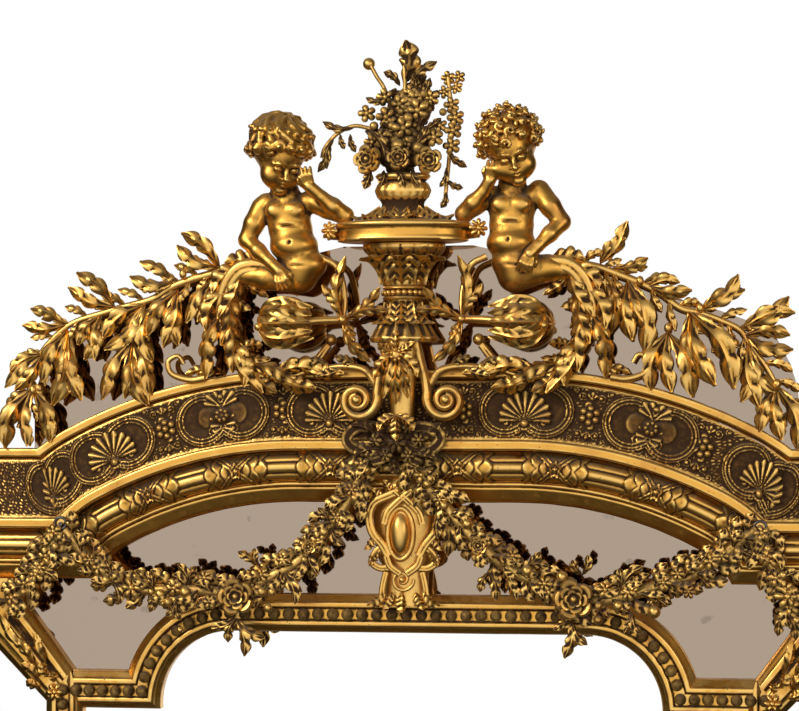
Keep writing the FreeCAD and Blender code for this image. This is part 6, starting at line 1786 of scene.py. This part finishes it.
    def metal(self, finish: Finish, clean: Point, dull: Point, roughness: float) -> bpy.types.Material:
        """Aged hardware metal."""
        material, tree = self.new(finish)
        where = tree.add("TexCoord").outputs["Object"]
        worn = tree.step(tree.noise(where, 120, 6), 0.42, 0.66)
        shader = tree.add("BsdfPrincipled", {
            "Base Color": tree.mix(worn, clean, dull), "Metallic": tree.math("SUBTRACT", 1.0, worn),
            "Roughness": tree.math("ADD", roughness, tree.math("MULTIPLY", worn, 0.3))})
        tree.add("OutputMaterial", {"Surface": shader.outputs[0]})
        return material

    def all(self) -> dict[Finish, bpy.types.Material]:
        """Every finish and its material."""
        return {
            Finish.BRIGHT: self.gilt(Finish.BRIGHT, 0.20, 0.85, 0.27, 0.4, 0.25),
            Finish.CARVED: self.gilt(Finish.CARVED, -0.05, 0.60, 0.33, 0.65, 0.4),
            Finish.DARK: self.gilt(Finish.DARK, -0.75, 0.40, 0.36, 0.5, 0.4, (0.42, 0.20, 0.04, 1)),
            Finish.PLATE: self.glass(Finish.PLATE, (0.96, 0.965, 0.96, 1), 0.01),
            Finish.AGED: self.glass(Finish.AGED, (0.39, 0.305, 0.235, 1), 0.05),
            Finish.PINE: self.pine(),
            Finish.IRON: self.metal(Finish.IRON, (0.16, 0.15, 0.145, 1), (0.07, 0.035, 0.02, 1), 0.42),
            Finish.BRASS: self.metal(Finish.BRASS, (0.62, 0.43, 0.17, 1), (0.16, 0.10, 0.05, 1), 0.3),
        }


# ---------------------------------------------------------------- the room
class Room:
    """The surroundings: a white backdrop, a bright front to reflect, dimmer sides, lamps and camera."""

    def world(self) -> None:
        """White to the camera, and to metal and glass behind the mirror; bright in front and dim at the sides."""
        world = bpy.data.worlds.new("room")
        bpy.context.scene.world = world
        world.use_nodes = True
        tree = Tree(world.node_tree)
        way = tree.add("SeparateXYZ", {0: tree.add("TexCoord").outputs["Generated"]}).outputs
        ahead = tree.math("MULTIPLY", way["Y"], -1.0)
        front = tree.math("MULTIPLY", tree.step(ahead, 0.62, 0.97),
                          tree.math("ADD", tree.math("MULTIPLY", tree.step(way["Z"], -0.5, -0.18), 0.68), 0.38))
        light = tree.math("ADD", front, tree.math("MULTIPLY", tree.step(way["Z"], 0.3, 1.0), 0.12))
        light = tree.math("ADD", light, 0.02)
        tint = tree.mix(tree.step(ahead, 0.2, 0.9), (1.0, 0.88, 0.74, 1), (1, 1, 1, 1))
        paths = tree.add("LightPath").outputs
        rear = tree.math("MULTIPLY", tree.step(way["Y"], 0.2, 0.9), paths["Is Diffuse Ray"])
        light = tree.math("ADD", light, tree.math("MULTIPLY", rear, 0.85))
        seen = tree.add("Background", {"Color": (1, 1, 1, 1), "Strength": 1.0}).outputs[0]
        lit = tree.add("Background", {"Color": tint, "Strength": light}).outputs[0]
        bounced = tree.math("ADD", paths["Is Glossy Ray"], paths["Is Transmission Ray"])
        backdrop = tree.math("MULTIPLY", bounced, tree.step(way["Y"], 0.6, 0.95))
        share = tree.math("MAXIMUM", paths["Is Camera Ray"], backdrop)
        surface = tree.add("MixShader", {0: share, 1: lit, 2: seen}).outputs[0]
        tree.add("OutputWorld", {"Surface": surface})

    def lamp(self, name: str, place: Point, size: float, power: float, colour: Point) -> None:
        """A soft lamp that looks at the crest."""
        light = bpy.data.lights.new(name, "AREA")
        light.size, light.energy, light.color = size, power, colour
        thing = bpy.data.objects.new(name, light)
        thing.location = place
        thing.rotation_euler = (Vector((0, -0.08, 1.8)) - Vector(place)).to_track_quat("-Z", "Y").to_euler()
        bpy.context.scene.collection.objects.link(thing)

    def camera(self) -> None:
        """The camera at the fitted viewpoint."""
        data = bpy.data.cameras.new("camera")
        data.lens, data.sensor_width, data.sensor_fit = VIEW.lens, 36, "HORIZONTAL"
        data.clip_end = 50
        thing = bpy.data.objects.new("camera", data)
        eye = Vector(VIEW.axes()[0]) * 0.001
        thing.location = eye
        thing.rotation_euler = (Vector(VIEW.aim) * 0.001 - eye).to_track_quat("-Z", "Y").to_euler()
        bpy.context.scene.collection.objects.link(thing)
        bpy.context.scene.camera = thing

    def build(self) -> None:
        """Sets up everything around the mirror."""
        bpy.context.scene.view_settings.view_transform = "Standard"
        self.world()
        self.lamp("key", (-1.9, -2.3, 3.3), 1.1, 42, (1.0, 0.95, 0.88))
        self.lamp("fill", (2.4, -2.2, 2.4), 1.2, 12, (1.0, 0.93, 0.85))
        self.camera()


BACK_FINISHES = {"backboard": Finish.PINE, "carcass": Finish.PINE, "crest_backboard": Finish.PINE,
                 "wall_battens": Finish.PINE, "hanger": Finish.IRON, "fixing_screws": Finish.IRON,
                 "wall_plates": Finish.BRASS, "main_mirror_plate": Finish.PLATE, "upper_plate": Finish.AGED,
                 "crest_mirror_plate": Finish.AGED}


def finish_nodes(frame: dict, materials: dict[Finish, bpy.types.Material]) -> None:
    """Gives the construction nodes that stay in view their finishes; the rest are gilt."""
    for name, node in frame["nodes"].items():
        finish = next((kind for start, kind in BACK_FINISHES.items() if name.startswith(start)), Finish.CARVED)
        node.data.materials.clear()
        node.data.materials.append(materials[finish])


# ---------------------------------------------------------------- main
def main() -> None:
    """Builds the whole scene."""
    logging.basicConfig(level=logging.INFO, format="%(name)s: %(message)s")
    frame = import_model()
    materials = Palette().all()
    finish_nodes(frame, materials)
    shop = Workshop(materials)
    for assembly in (ArchMouldings(), BeadedFrame(), *BRANCHES, Scroll(), *PUTTI, Console(), Bouquet(),
                     Keystone(), *GARLANDS, Fittings()):
        assembly.build(shop)
    shop.finish()
    Room().build()
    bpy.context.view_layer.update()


if __name__ == "__main__":
    main()
